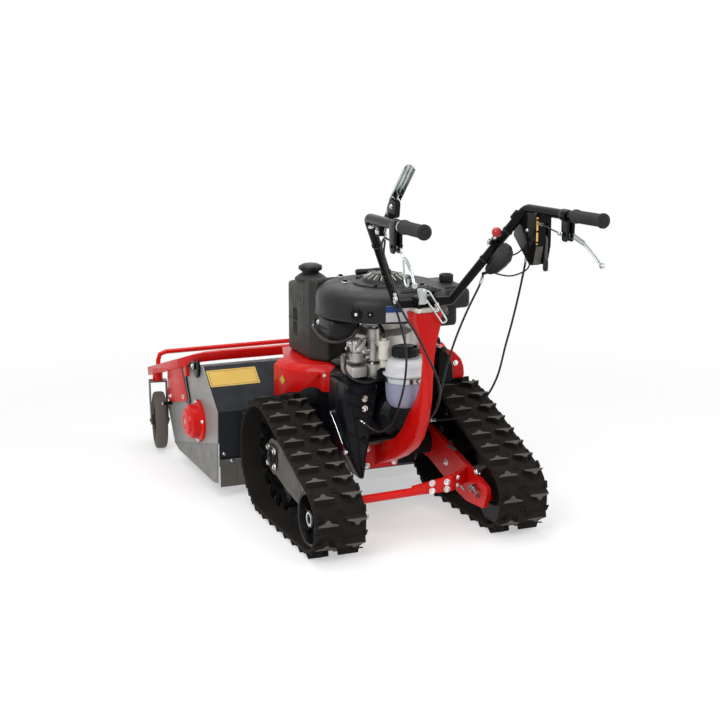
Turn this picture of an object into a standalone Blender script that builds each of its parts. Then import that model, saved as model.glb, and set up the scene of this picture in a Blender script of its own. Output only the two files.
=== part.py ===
"""Tracked hammer knife mower.

A walk-behind flail mower: two rubber tracks carry a gearcase with a vertical-shaft
engine on top, a flail deck on casters hangs in front, and a red column behind the
engine carries a V-shaped handlebar with its levers.

Units are metres. +Y is forward, +X is the machine's right and +Z is up. Every piece
is placed from the ground point under the drive axle, and the root empty then moves
the whole machine so that its bounding box is centred over the origin.
"""
import math

import bmesh
import bpy
from mathutils import Matrix, Vector

# Fits
GAP = 0.0003
SHELL = 0.003

# Machine origin: middle of the bounding box, seen from the ground point under the axle
ORIGIN_X = 0.0
ORIGIN_Y = -0.002112

# Tracks
TRACK_GAUGE = 0.580
TRACK_PITCH = 0.0648
TRACK_LINKS = 25
SPROCKET_TEETH = 16
IDLER_PITCH_RADIUS = 0.0915
BELT_WIDTH = 0.156
BELT_THICKNESS = 0.011
CORD_DEPTH = 0.0055
LUG_HEIGHT = 0.015
HORN_HEIGHT = 0.024
HORN_WIDTH = 0.034
HORN_LENGTH = 0.030
IDLER_FACETS_PER_LINK = 3
ROLLER_GROOVE = 0.044
SHAFT_RADIUS = 0.015
SHAFT_BORE = SHAFT_RADIUS * 1.035 + GAP
IDLER_PIN_RADIUS = 0.010
IDLER_HALF = 0.064

# Chassis
ARM_INNER = 0.197
ARM_OUTER = 0.2105
AXLE_TUBE_RADIUS = 0.043
PLATE_TOP = 0.457
PLATE_THICKNESS = 0.008

# Flail deck
DECK_HALF_WIDTH = 0.424
SIDE_PLATE = 0.004
ROTOR_Y = 0.415
ROTOR_Z = 0.206
ROTOR_TUBE_RADIUS = 0.040
ROTOR_DISC_RADIUS = 0.085
HAMMER_ROD_ORBIT = 0.070
HAMMER_ROD_RADIUS = 0.006
ROD_HOLE = HAMMER_ROD_RADIUS * 1.155 + GAP
HAMMER_REACH = 0.080
HAMMERS_PER_GAP = 2
HAMMER_ROWS = 4

# Casters
CASTER_X = DECK_HALF_WIDTH + 0.010
CASTER_TRAIL = 0.034
CASTER_WHEEL_RADIUS = 0.100
CASTER_REAR = 0.751
CASTER_Y = CASTER_REAR + CASTER_WHEEL_RADIUS + CASTER_TRAIL
CASTER_WHEEL_WIDTH = 0.046
CASTER_REST_TURN = math.radians(-10.0)
CASTER_BOSS_BOTTOM = 2 * CASTER_WHEEL_RADIUS + 0.036
CASTER_BOSS_TOP = CASTER_BOSS_BOTTOM + 0.044

# Engine
ENGINE_Y = -0.100
SHROUD_RADIUS = 0.200
SHROUD_BOTTOM = 0.635
SHROUD_TOP = 0.722
CRANKCASE_RADIUS = 0.090

# Column and handlebar
HANDLE_TUBE_RADIUS = 0.0135
CROSS_TUBE_Y = -0.402
CROSS_TUBE_Z = 0.717
GRIP_LENGTH = 0.138
GRIP_RADIUS = HANDLE_TUBE_RADIUS + 0.0035

PI = math.pi


def clear_scene():
    for item in list(bpy.data.objects):
        bpy.data.objects.remove(item, do_unlink=True)


def new_collection(name):
    collection = bpy.data.collections.new(name)
    bpy.context.scene.collection.children.link(collection)
    return collection


clear_scene()
PARTS = new_collection("tracked_hammer_knife_mower")
CUTTERS = new_collection("cutters")


def material(name, color, roughness, metallic=0.0):
    paint = bpy.data.materials.new(name)
    paint.use_nodes = True
    shader = paint.node_tree.nodes["Principled BSDF"]
    shader.inputs["Base Color"].default_value = (*color, 1.0)
    shader.inputs["Roughness"].default_value = roughness
    shader.inputs["Metallic"].default_value = metallic
    return paint


RED = material("red_paint", (0.62, 0.012, 0.018), 0.32)
BLACK = material("black_paint", (0.018, 0.018, 0.020), 0.42)
CHARCOAL = material("charcoal_paint", (0.030, 0.033, 0.040), 0.45)
GREY = material("grey_paint", (0.27, 0.27, 0.265), 0.45)
ALUMINIUM = material("cast_aluminium", (0.50, 0.49, 0.47), 0.45, 1.0)
STEEL = material("bright_steel", (0.62, 0.63, 0.64), 0.28, 1.0)
ZINC = material("zinc_plate", (0.55, 0.58, 0.58), 0.38, 1.0)
TRACK_RUBBER = material("track_rubber", (0.040, 0.036, 0.033), 0.85)
GRIP_RUBBER = material("grip_rubber", (0.045, 0.045, 0.048), 0.75)
CABLE_JACKET = material("cable_jacket", (0.012, 0.012, 0.013), 0.45)
BLACK_PLASTIC = material("black_plastic", (0.020, 0.020, 0.021), 0.50)
TANK_PLASTIC = material("tank_plastic", (0.028, 0.029, 0.027), 0.55)
WHITE_PLASTIC = material("bottle_plastic", (0.70, 0.70, 0.74), 0.35)
CREAM = material("cream_plate", (0.72, 0.70, 0.62), 0.45)


def keep(name, mesh, paint):
    """Turns a mesh into a named part."""
    item = bpy.data.objects.new(name, mesh)
    mesh.materials.append(paint)
    PARTS.objects.link(item)
    return item


def from_bmesh(name, work, paint):
    mesh = bpy.data.meshes.new(name)
    work.to_mesh(mesh)
    work.free()
    return keep(name, mesh, paint)


def as_mesh(item):
    """Makes a curve or a modified object a plain mesh object, with its caps welded."""
    bpy.context.view_layer.update()
    graph = bpy.context.evaluated_depsgraph_get()
    mesh = bpy.data.meshes.new_from_object(item.evaluated_get(graph))
    work = bmesh.new()
    work.from_mesh(mesh)
    bmesh.ops.remove_doubles(work, verts=work.verts, dist=0.000002)
    bmesh.ops.recalc_face_normals(work, faces=work.faces)
    work.to_mesh(mesh)
    work.free()
    name = item.name
    place = item.matrix_world.copy()
    bpy.data.objects.remove(item, do_unlink=True)
    made = bpy.data.objects.new(name, mesh)
    made.matrix_world = place
    PARTS.objects.link(made)
    return made


def join_shape(item, tool, operation):
    """Adds a Boolean modifier; a curve is made a mesh first."""
    if tool.type == "CURVE":
        tool = as_mesh(tool)
    change = item.modifiers.new(operation.lower(), "BOOLEAN")
    change.operation = operation
    change.object = tool
    tool.name = item.name + "_" + tool.name
    tool.hide_render = True
    tool.display_type = "WIRE"
    PARTS.objects.unlink(tool)
    CUTTERS.objects.link(tool)


def fuse(item, *tools):
    for tool in tools:
        join_shape(item, tool, "UNION")
    return item


def cut(item, *tools):
    for tool in tools:
        join_shape(item, tool, "DIFFERENCE")
    return item


def soften(item, width, segments=2, angle=35.0):
    bevel = item.modifiers.new("soft edges", "BEVEL")
    bevel.width = width
    bevel.segments = segments
    bevel.limit_method = "ANGLE"
    bevel.angle_limit = math.radians(angle)
    return item


def box(name, low, high, paint, bevel=0.0, segments=2):
    """A box between two corners, with its origin in its middle."""
    work = bmesh.new()
    bmesh.ops.create_cube(work, size=1.0)
    size = [high[i] - low[i] for i in range(3)]
    bmesh.ops.scale(work, vec=size, verts=work.verts)
    item = from_bmesh(name, work, paint)
    item.location = [(high[i] + low[i]) / 2 for i in range(3)]
    if bevel:
        soften(item, bevel, segments)
    return item


def rod(name, start, end, radius, paint, sides=20, end_radius=None):
    """A cylinder or cone between two points."""
    start = Vector(start)
    end = Vector(end)
    work = bmesh.new()
    far = radius if end_radius is None else end_radius
    bmesh.ops.create_cone(
        work, cap_ends=True, segments=sides, radius1=radius, radius2=far,
        depth=(end - start).length)
    item = from_bmesh(name, work, paint)
    item.location = (start + end) / 2
    item.rotation_euler = (end - start).to_track_quat("Z", "Y").to_euler()
    return item


AXIS_TURNS = {
    "X": (0.0, PI / 2, 0.0),
    "-X": (0.0, -PI / 2, 0.0),
    "Y": (-PI / 2, 0.0, 0.0),
    "-Y": (PI / 2, 0.0, 0.0),
    "Z": (0.0, 0.0, 0.0),
}


def turned(name, profile, paint, at=(0, 0, 0), axis="Z", steps=28, ring=False):
    """A profile of (radius, height) pairs, top to bottom, spun round an axis."""
    work = bmesh.new()
    points = [work.verts.new((radius, 0.0, height)) for radius, height in profile]
    for first, second in zip(points, points[1:]):
        work.edges.new((first, second))
    if ring:
        work.edges.new((points[-1], points[0]))
    item = from_bmesh(name, work, paint)
    spin = item.modifiers.new("spin", "SCREW")
    spin.axis = "Z"
    spin.angle = 2 * PI
    spin.steps = steps
    spin.render_steps = steps
    spin.use_merge_vertices = True
    spin.merge_threshold = 0.00005
    spin.use_smooth_shade = True
    item.location = at
    item.rotation_euler = AXIS_TURNS[axis]
    return item


PLANE_TURNS = {
    "X": Matrix(((0, 0, 1), (1, 0, 0), (0, 1, 0))),
    "Y": Matrix(((1, 0, 0), (0, 0, -1), (0, 1, 0))),
    "Z": Matrix.Identity(3),
}


def plate(name, outline, low, high, paint, axis="X", holes=()):
    """A flat outline with thickness from low to high along an axis.

    The outline holds (y, z) pairs for axis X, (x, z) for Y and (x, y) for Z.
    """
    curve = bpy.data.curves.new(name, "CURVE")
    curve.dimensions = "2D"
    curve.fill_mode = "BOTH"
    curve.extrude = (high - low) / 2
    for loop in (outline, *holes):
        spline = curve.splines.new("POLY")
        spline.points.add(len(loop) - 1)
        for point, (first, second) in zip(spline.points, loop):
            point.co = (first, second, 0.0, 1.0)
        spline.use_cyclic_u = True
    item = bpy.data.objects.new(name, curve)
    PARTS.objects.link(item)
    middle = (high + low) / 2
    item.location = {"X": (middle, 0, 0), "Y": (0, middle, 0), "Z": (0, 0, middle)}[axis]
    item.rotation_euler = PLANE_TURNS[axis].to_euler()
    item = as_mesh(item)
    item.data.materials.clear()
    item.data.materials.append(paint)
    return item


def arc(center, radius, start, end, steps):
    """Points on an arc, angles in degrees."""
    points = []
    for index in range(steps + 1):
        angle = math.radians(start + (end - start) * index / steps)
        points.append((center[0] + radius * math.cos(angle), center[1] + radius * math.sin(angle)))
    return points


def rounded(corners, radius, steps=3, closed=False):
    """Replaces the corners of a polyline by soft bends; works in 2D and 3D."""
    size = len(corners[0])
    points = [Vector(corner).to_3d() for corner in corners]
    count = len(points)
    made = []
    for index, corner in enumerate(points):
        if not closed and index in (0, count - 1):
            made.append(corner)
            continue
        before = points[index - 1] - corner
        after = points[(index + 1) % count] - corner
        reach = radius * math.tan((PI - before.angle(after)) / 2)
        reach = min(reach, before.length * 0.45, after.length * 0.45)
        first = corner + before.normalized() * reach
        last = corner + after.normalized() * reach
        for step in range(steps + 1):
            t = step / steps
            made.append(first * (1 - t) ** 2 + corner * 2 * t * (1 - t) + last * t ** 2)
    return [tuple(point)[:size] for point in made]


def pipe(name, points, radius, paint, resolution=2):
    """A round bar along a polyline, with closed ends."""
    curve = bpy.data.curves.new(name, "CURVE")
    curve.dimensions = "3D"
    curve.bevel_depth = radius
    curve.bevel_resolution = resolution
    curve.use_fill_caps = True
    curve.twist_mode = "MINIMUM"
    spline = curve.splines.new("POLY")
    spline.points.add(len(points) - 1)
    for point, place in zip(spline.points, points):
        point.co = (*place, 1.0)
    curve.materials.append(paint)
    item = bpy.data.objects.new(name, curve)
    PARTS.objects.link(item)
    return item


def route(points, spacing):
    """Evenly spaced points on a smooth curve through the points of a cable's route."""
    stops = [Vector(point) for point in points]
    stops.insert(0, stops[0] * 2 - stops[1])
    stops.append(stops[-1] * 2 - stops[-2])
    made = []
    for index in range(1, len(stops) - 2):
        before, first, last, after = stops[index - 1:index + 3]
        count = max(1, round((last - first).length / spacing))
        for step in range(count):
            t = step / count
            made.append(
                first * 2
                + (last - before) * t
                + (before * 2 - first * 5 + last * 4 - after) * t ** 2
                + (first * 3 - before - last * 3 + after) * t ** 3)
    path = [point * 0.5 for point in made]
    path.append(stops[-2])
    return path


def mirrored(points):
    """A left half, outer end first, followed by its mirror image on the right."""
    return list(points) + [(-x, y, z) for x, y, z in reversed(points)]


def pivot(name, at):
    empty = bpy.data.objects.new(name, None)
    empty.location = at
    PARTS.objects.link(empty)
    return empty


def hang(parent, *items):
    """Parents pieces, and the cutters they use, to an empty without moving them."""
    for item in items:
        item.parent = parent
        item.matrix_parent_inverse = Matrix.Translation(-parent.location)
        for change in item.modifiers:
            if change.type == "BOOLEAN":
                hang(parent, change.object)


# Track geometry, worked out from pitch, teeth and links

SPROCKET_PITCH_RADIUS = TRACK_PITCH * SPROCKET_TEETH / (2 * PI)
AXLE_Z = SPROCKET_PITCH_RADIUS + CORD_DEPTH + LUG_HEIGHT
IDLER_Z = IDLER_PITCH_RADIUS + CORD_DEPTH + LUG_HEIGHT
BELT_INSIDE = BELT_THICKNESS - CORD_DEPTH
TRACK_X = TRACK_GAUGE / 2


def track_wheelbase():
    """Axle distance that takes up the whole belt, found by repeated substitution."""
    large = SPROCKET_PITCH_RADIUS
    small = IDLER_PITCH_RADIUS
    length = TRACK_PITCH * TRACK_LINKS
    base = length / 4
    for _ in range(40):
        tilt = math.atan2(large - small, base)
        base = (length - (PI + 2 * tilt) * large - (PI - 2 * tilt) * small) / 2
    return base


WHEELBASE = track_wheelbase()
IDLER_Y = -WHEELBASE
RUN_TILT = math.atan2(SPROCKET_PITCH_RADIUS - IDLER_PITCH_RADIUS, WHEELBASE)


def from_line(share, lift):
    """Point (y, z) at a share of the way from the axle to the idler, and lifted off that line."""
    line = Vector((IDLER_Y, IDLER_Z - AXLE_Z))
    up = Vector((line.y, -line.x)).normalized()
    return tuple(Vector((0, AXLE_Z)) + line * share + up * lift)


SPACER_Y, SPACER_Z = from_line(0.608, 0.0043)


def belt_frame(travel):
    """Point and outward normal angle on the pitch line; travel starts under the axle."""
    travel = travel % (TRACK_PITCH * TRACK_LINKS)
    if travel < WHEELBASE:
        return -travel, AXLE_Z - SPROCKET_PITCH_RADIUS, -PI / 2
    travel -= WHEELBASE
    small_arc = (PI - 2 * RUN_TILT) * IDLER_PITCH_RADIUS
    if travel < small_arc:
        angle = -PI / 2 - travel / IDLER_PITCH_RADIUS
        y = IDLER_Y + IDLER_PITCH_RADIUS * math.cos(angle)
        return y, IDLER_Z + IDLER_PITCH_RADIUS * math.sin(angle), angle
    travel -= small_arc
    normal = PI / 2 + 2 * RUN_TILT
    if travel < WHEELBASE:
        y = IDLER_Y + IDLER_PITCH_RADIUS * math.cos(normal) + travel * math.sin(normal)
        z = IDLER_Z + IDLER_PITCH_RADIUS * math.sin(normal) - travel * math.cos(normal)
        return y, z, normal
    travel -= WHEELBASE
    angle = normal - travel / SPROCKET_PITCH_RADIUS
    y = SPROCKET_PITCH_RADIUS * math.cos(angle)
    return y, AXLE_Z + SPROCKET_PITCH_RADIUS * math.sin(angle), angle


def belt_arc(radius, center, first, last, count):
    """Points of a bend between two travels, with a flat facet under the middle of each link."""
    facet = TRACK_PITCH / count
    shift = TRACK_PITCH / 2 - facet / 2
    stops = [first]
    for index in range(TRACK_LINKS * count):
        place = shift + index * facet
        if first + 0.2 * facet < place < last - 0.2 * facet:
            stops.append(place)
    stops.append(last)
    points = []
    for travel in stops:
        angle = belt_frame(travel)[2]
        points.append((center[0] + radius * math.cos(angle), center[1] + radius * math.sin(angle)))
    return points


def belt_outline(offset):
    """Side view of the belt at a distance outside its pitch line."""
    bend = WHEELBASE + (PI - 2 * RUN_TILT) * IDLER_PITCH_RADIUS
    points = belt_arc(
        IDLER_PITCH_RADIUS + offset, (IDLER_Y, IDLER_Z), WHEELBASE, bend, IDLER_FACETS_PER_LINK)
    points += belt_arc(
        SPROCKET_PITCH_RADIUS + offset, (0, AXLE_Z), bend + WHEELBASE, TRACK_PITCH * TRACK_LINKS - 0.00001,
        2)
    return points


# A tread lug seen from outside: a bar across half the belt with one pointed fin
LUG_OUTLINE = ((-0.074, -0.006), (-0.013, -0.006), (-0.043, 0.017), (-0.073, 0.001))
LUG_DRAFT = 1.12
LUG_ROOT = 0.003


def add_block(work, outline, frame, root, tip, draft):
    """A block with sloping sides on the belt, from its root height to its tip height.

    The outline holds (across, along) pairs, and frame places the block on the belt.
    """
    middle = Vector((sum(p[0] for p in outline), sum(p[1] for p in outline))) / len(outline)
    base = []
    top = []
    for point in outline:
        flat = Vector(point)
        wide = middle + (flat - middle) * draft
        base.append(work.verts.new(frame @ Vector((wide.x, wide.y, root))))
        top.append(work.verts.new(frame @ Vector((flat.x, flat.y, tip))))
    count = len(outline)
    for index in range(count):
        after = (index + 1) % count
        work.faces.new((base[index], base[after], top[after], top[index]))
    work.faces.new(top)
    work.faces.new(list(reversed(base)))


def add_horn(work, frame):
    """A drive horn on the inside of a link: a wedge whose ridge lies across the belt."""
    low = BELT_INSIDE - LUG_ROOT
    high = BELT_INSIDE + HORN_HEIGHT
    side = HORN_WIDTH / 2
    half = HORN_LENGTH / 2
    corners = ((-side, -half), (side, -half), (side, half), (-side, half))
    base = [work.verts.new(frame @ Vector((across, along, low))) for across, along in corners]
    left = work.verts.new(frame @ Vector((-side * 0.8, 0, high)))
    right = work.verts.new(frame @ Vector((side * 0.8, 0, high)))
    work.faces.new(list(reversed(base)))
    work.faces.new((base[0], base[1], right, left))
    work.faces.new((base[2], base[3], left, right))
    work.faces.new((base[1], base[2], right))
    work.faces.new((base[3], base[0], left))


def link_frame(index):
    """Matrix from (across, along, outward) on link number index to the side view."""
    y, z, angle = belt_frame((index + 0.5) * TRACK_PITCH)
    across = Vector((1, 0, 0))
    along = Vector((0, math.sin(angle), -math.cos(angle)))
    outward = Vector((0, math.cos(angle), math.sin(angle)))
    frame = Matrix((across, along, outward)).transposed().to_4x4()
    frame.translation = Vector((0, y, z))
    return frame


def make_track(name, x):
    """Endless rubber belt with two staggered lugs and one drive horn on each link."""
    belt = plate(
        name, belt_outline(CORD_DEPTH), -BELT_WIDTH / 2, BELT_WIDTH / 2, TRACK_RUBBER,
        holes=(belt_outline(-BELT_INSIDE),))
    work = bmesh.new()
    for index in range(TRACK_LINKS):
        frame = link_frame(index)
        top = CORD_DEPTH + LUG_HEIGHT
        add_block(work, LUG_OUTLINE, frame, CORD_DEPTH - LUG_ROOT, top, LUG_DRAFT)
        opposite = [(-across, -along) for across, along in LUG_OUTLINE]
        add_block(work, opposite, frame, CORD_DEPTH - LUG_ROOT, top, LUG_DRAFT)
        add_horn(work, frame @ Matrix.Rotation(PI, 4, "X"))
    tread = from_bmesh("tread", work, TRACK_RUBBER)
    fuse(belt, tread)
    belt.location.x = x
    tread.location.x = x
    return belt


def roller_radius(pitch_radius, count):
    """Largest rim that clears the flat facets of the belt wrapped round it."""
    facet = TRACK_PITCH / count / pitch_radius
    return (pitch_radius - BELT_INSIDE) * math.cos(facet * 0.6) - GAP


SPROCKET_RIM = roller_radius(SPROCKET_PITCH_RADIUS, 2)
IDLER_RIM = roller_radius(IDLER_PITCH_RADIUS, IDLER_FACETS_PER_LINK)
SPROCKET_HALF = 0.016
TOOTH_TIP = 0.0115
SPROCKET_VALLEY = SPROCKET_RIM - HORN_HEIGHT - 0.018
HUB_RADIUS = 0.042
PLATE_INNER = 0.022
PLATE_OUTER = 0.027
SHAFT_INNER_END = 0.150
SHAFT_OUTER_END = 0.034


def sprocket_outline():
    """Star with a blunt tooth between neighbouring drive horns of the belt."""
    points = []
    for index in range(SPROCKET_TEETH):
        middle = -PI / 2 + 2 * PI * index / SPROCKET_TEETH
        valley = middle - PI / SPROCKET_TEETH
        points.append((SPROCKET_VALLEY * math.cos(valley), SPROCKET_VALLEY * math.sin(valley)))
        for half in (-TOOTH_TIP, TOOTH_TIP):
            angle = middle + math.asin(half / SPROCKET_RIM)
            points.append((SPROCKET_RIM * math.cos(angle), SPROCKET_RIM * math.sin(angle)))
    return points


def make_sprocket(name, side):
    """Star wheel whose teeth push the horns, on the end of the drive shaft."""
    hub = SPROCKET_HALF + 0.004
    profile = (
        (0, SHAFT_OUTER_END), (SHAFT_RADIUS, SHAFT_OUTER_END), (SHAFT_RADIUS, hub), (HUB_RADIUS, hub),
        (HUB_RADIUS, 0), (SHAFT_RADIUS, 0), (SHAFT_RADIUS, -SHAFT_INNER_END), (0, -SHAFT_INNER_END))
    center = (side * TRACK_X, 0, AXLE_Z)
    shaft = turned(name, profile, BLACK, center, "X" if side > 0 else "-X", steps=12)
    star = plate("star", sprocket_outline(), -SPROCKET_HALF, SPROCKET_HALF, BLACK)
    star.location = center
    fuse(shaft, star)
    hang(pivot(name + "_axis", center), shaft)
    return shaft


def make_idler(name, side):
    """Rear wheel with a groove for the horns and a dished face, running on a fixed pin."""
    steps = 14
    bore = (IDLER_PIN_RADIUS + GAP) / math.cos(PI / steps)
    groove = ROLLER_GROOVE / 2
    half = IDLER_HALF
    profile = (
        (bore, half - 0.004), (0.026, half - 0.004), (0.028, half - 0.022), (0.066, half - 0.022),
        (0.072, half),
        (IDLER_RIM, half), (IDLER_RIM, groove), (0.057, groove), (0.057, -groove), (IDLER_RIM, -groove),
        (IDLER_RIM, -half), (bore, -half))
    center = (side * TRACK_X, IDLER_Y, IDLER_Z)
    wheel = turned(name, profile, BLACK, center, "X" if side > 0 else "-X", steps, ring=True)
    hang(pivot(name + "_axis", center), wheel)
    return wheel


def make_track_plate(name, side):
    """Grey outer plate that carries the end of the drive shaft, with its bolted bearing."""
    def out(distance):
        return side * (TRACK_X + distance)

    low, high = sorted((out(PLATE_INNER), out(PLATE_OUTER)))
    outline = arc((0, AXLE_Z), 0.056, -110, 100, 5)
    edge = [(0.216, 0.0818), (0.454, 0.0609), (0.651, 0.0309), (0.713, -0.0133), (0.656, -0.044),
        (0.329, -0.0522)]
    outline += [from_line(*point) for point in edge]
    body = plate(name, outline, low, high, GREY)
    bearing = rod("bearing", (out(PLATE_OUTER - 0.002), 0, AXLE_Z), (out(0.039), 0, AXLE_Z), 0.040, BLACK,
        14)
    spacer = rod(
        "spacer", (side * (ARM_OUTER + GAP), SPACER_Y, SPACER_Z),
        (out(PLATE_INNER + 0.002), SPACER_Y, SPACER_Z),
        0.012, GREY, 8)
    fuse(body, bearing, spacer)
    for y, z in ((0.024, 0.022), (-0.024, 0.022), (0.024, -0.022), (-0.024, -0.022)):
        start = (out(0.037), y, AXLE_Z + z)
        fuse(body, rod("bolt", start, (out(0.045), y, AXLE_Z + z), 0.0065, STEEL, 6))
    bore = rod(
        "bore", (out(0.010), 0, AXLE_Z), (out(SHAFT_OUTER_END + GAP), 0, AXLE_Z), SHAFT_BORE, GREY, 12)
    cut(body, bore)
    return body


def make_arm(name, side):
    """Red pressed channel from the axle tube back to the idler pin, open outwards."""
    low, high = sorted((side * ARM_INNER, side * ARM_OUTER))
    outline = arc((0, AXLE_Z), 0.056, -105, 105, 5)
    edge = [(0.331, 0.0537), (0.739, 0.0497), (1.089, 0.0412), (1.051, -0.0308), (0.771, -0.0619),
        (0.488, -0.0648)]
    outline += [from_line(*point) for point in edge]
    body = plate(name, outline, low, high, RED)
    pocket_outline = arc((0, AXLE_Z), 0.0525, -105, 105, 5)
    edge = [(0.332, 0.0503), (0.741, 0.0462), (1.079, 0.0379), (1.042, -0.0279), (0.769, -0.0584),
        (0.486, -0.0613)]
    pocket_outline += [from_line(*point) for point in edge]
    web = side * (ARM_INNER + 0.004)
    low, high = sorted((web, side * (ARM_OUTER + 0.01)))
    cut(body, plate("pocket", pocket_outline, low, high, RED))
    start = side * (ARM_INNER - 0.01)
    hole = rod("axle_hole", (start, 0, AXLE_Z), (web + side * 0.01, 0, AXLE_Z),
        AXLE_TUBE_RADIUS * 1.02 + GAP, RED, 16)
    cut(body, hole)
    boss_end = side * (TRACK_X - IDLER_HALF - 0.0005)
    fuse(body, rod("pin_boss", (web - side * 0.002, IDLER_Y, IDLER_Z), (boss_end, IDLER_Y, IDLER_Z), 0.018,
        RED, 10))
    pin_end = side * (TRACK_X + IDLER_HALF - 0.010)
    fuse(body, rod("idler_pin", (side * 0.215, IDLER_Y, IDLER_Z), (pin_end, IDLER_Y, IDLER_Z),
        IDLER_PIN_RADIUS, STEEL, 10))
    boss = side * (web * side - 0.001)
    fuse(body, rod("spacer_boss", (boss, SPACER_Y, SPACER_Z), (side * ARM_OUTER, SPACER_Y, SPACER_Z),
        0.016, RED, 8))
    x = side * (ARM_INNER - 0.007)
    y = IDLER_Y + (0.004 if side > 0 else -0.030)
    z = IDLER_Z + (0.004 if side > 0 else -0.006)
    fuse(body, rod("tension_screw", (x, y + 0.051, z + 0.016), (x, y, z), 0.0095, STEEL, 6))
    return body


def make_tie_bar():
    """Red bar across the back that ties both arms together."""
    end = ARM_INNER - GAP
    y = IDLER_Y + 0.0415
    z = IDLER_Z + 0.022
    bar = rod("tie_bar", (-end + 0.002, y, z), (0.030, y, z + 0.006), 0.0125, RED, 10)
    plan = [
        (-0.010, y - 0.006), (0.118, y - 0.006), (end, y + 0.054), (end, y + 0.066), (0.114, y + 0.006),
        (-0.010, y + 0.006)]
    strap = plate("strap", plan, z - 0.006, z + 0.040, RED, axis="Z")
    for corner in strap.data.vertices:
        if corner.co.x < 0 and corner.co.z > 0:
            corner.co.z -= 0.018
    foot = box("foot", (-end, y - 0.013, z - 0.018), (-end + 0.006, y + 0.013, z + 0.024), RED)
    fuse(bar, strap, foot)
    return bar


BOTTLE_X = -0.008
BOTTLE_Y = -0.290
BOTTLE_RADIUS = 0.058
BOTTLE_STEPS = 14
BOTTLE_BAND = BOTTLE_RADIUS + GAP
FOOT_Y = -0.100
CASE_HALF_WIDTH = 0.118
DECK_BACK_Y = 0.228
DECK_SHEET = 0.004


def make_transmission_case():
    """Black gearcase with axle tubes, rear cover, front coupling and the engine plate."""
    outline = [
        (0.160, 0.175), (0.160, 0.350), (0.120, 0.392), (0.010, 0.430), (-0.140, 0.452), (-0.165, 0.410),
        (-0.165, 0.275), (FOOT_Y, 0.245), (FOOT_Y, 0.140), (0.120, 0.140)]
    case = plate("transmission_case", outline, -CASE_HALF_WIDTH, CASE_HALF_WIDTH, BLACK)
    side_case = plate(
        "side_case", [
            (-0.166, 0.446), (-0.056, 0.446), (-0.046, 0.340), (-0.060, 0.215), (-0.088, 0.148),
            (-0.116, 0.148), (-0.152, 0.225), (-0.170, 0.350)],
        -0.215, -0.080, BLACK, axis="Y")
    cover = turned(
        "rear_cover", [(0, 0.238), (0.048, 0.238), (0.066, 0.222), (0.070, 0.150), (0, 0.150)],
        BLACK, (0.010, 0, 0.340), "-Y", 12)
    tube_end = ARM_OUTER - 0.001
    tube = rod("axle_tube", (-tube_end, 0, AXLE_Z), (tube_end, 0, AXLE_Z), AXLE_TUBE_RADIUS, BLACK, 14)
    flange = rod("flange", (-0.146, 0, AXLE_Z), (0.146, 0, AXLE_Z), 0.062, BLACK, 14)
    engine_plate = plate(
        "engine_plate", rounded([(-0.125, -0.212), (0.125, -0.212), (0.125, 0.070), (-0.125, 0.070)],
                                0.03, 1, True),
        PLATE_TOP - PLATE_THICKNESS, PLATE_TOP, BLACK, axis="Z")
    face = DECK_BACK_Y - DECK_SHEET - GAP
    neck = rod("coupling", (0, 0.150, 0.280), (0, face - 0.008, 0.280), 0.050, BLACK, 12)
    coupling_flange = box("coupling_flange", (-0.080, face - 0.010, 0.215), (0.080, face, 0.272), BLACK)
    fuse(case, side_case, cover, tube, flange, engine_plate, neck, coupling_flange)
    for side in (-1, 1):
        inner = side * (TRACK_X - SHAFT_INNER_END - GAP)
        cut(case, rod("shaft_bore", (inner, 0, AXLE_Z), (side * 0.22, 0, AXLE_Z), SHAFT_BORE, BLACK, 12))
    inner = BOTTLE_BAND
    profile = ((inner, 0.479), (inner + 0.0018, 0.479), (inner + 0.0018, 0.464), (inner, 0.464))
    band = turned("bottle_band", profile, ZINC, (BOTTLE_X, BOTTLE_Y, 0), "Z", BOTTLE_STEPS, ring=True)
    stay = box(
        "stay", (BOTTLE_X - 0.010, BOTTLE_Y + BOTTLE_RADIUS * 0.975 + 0.0008, PLATE_TOP - 0.002),
        (BOTTLE_X + 0.010, -0.205, 0.470), ZINC)
    return fuse(case, band, stay)


# Column stations: rear edge (y, z), half width, depth of the side flanges
COLUMN_STATIONS = (
    ((FOOT_Y - 0.0045, 0.158), 0.022, 0.064),
    ((-0.170, 0.184), 0.018, 0.058),
    ((-0.263, 0.226), 0.016, 0.054),
    ((-0.334, 0.269), 0.016, 0.064),
    ((-0.378, 0.313), 0.016, 0.070),
    ((-0.410, 0.372), 0.0155, 0.060),
    ((-0.427, 0.434), 0.015, 0.034),
    ((-0.434, 0.495), 0.0145, 0.014),
    ((-0.440, 0.556), 0.0145, 0.013),
    ((-0.443, 0.600), 0.019, 0.022),
    ((-0.441, 0.640), 0.030, 0.042),
    ((-0.436, 0.668), 0.038, 0.056),
    ((-0.434, 0.688), 0.039, 0.060),
)
COLUMN_TOP = 0.690


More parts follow.
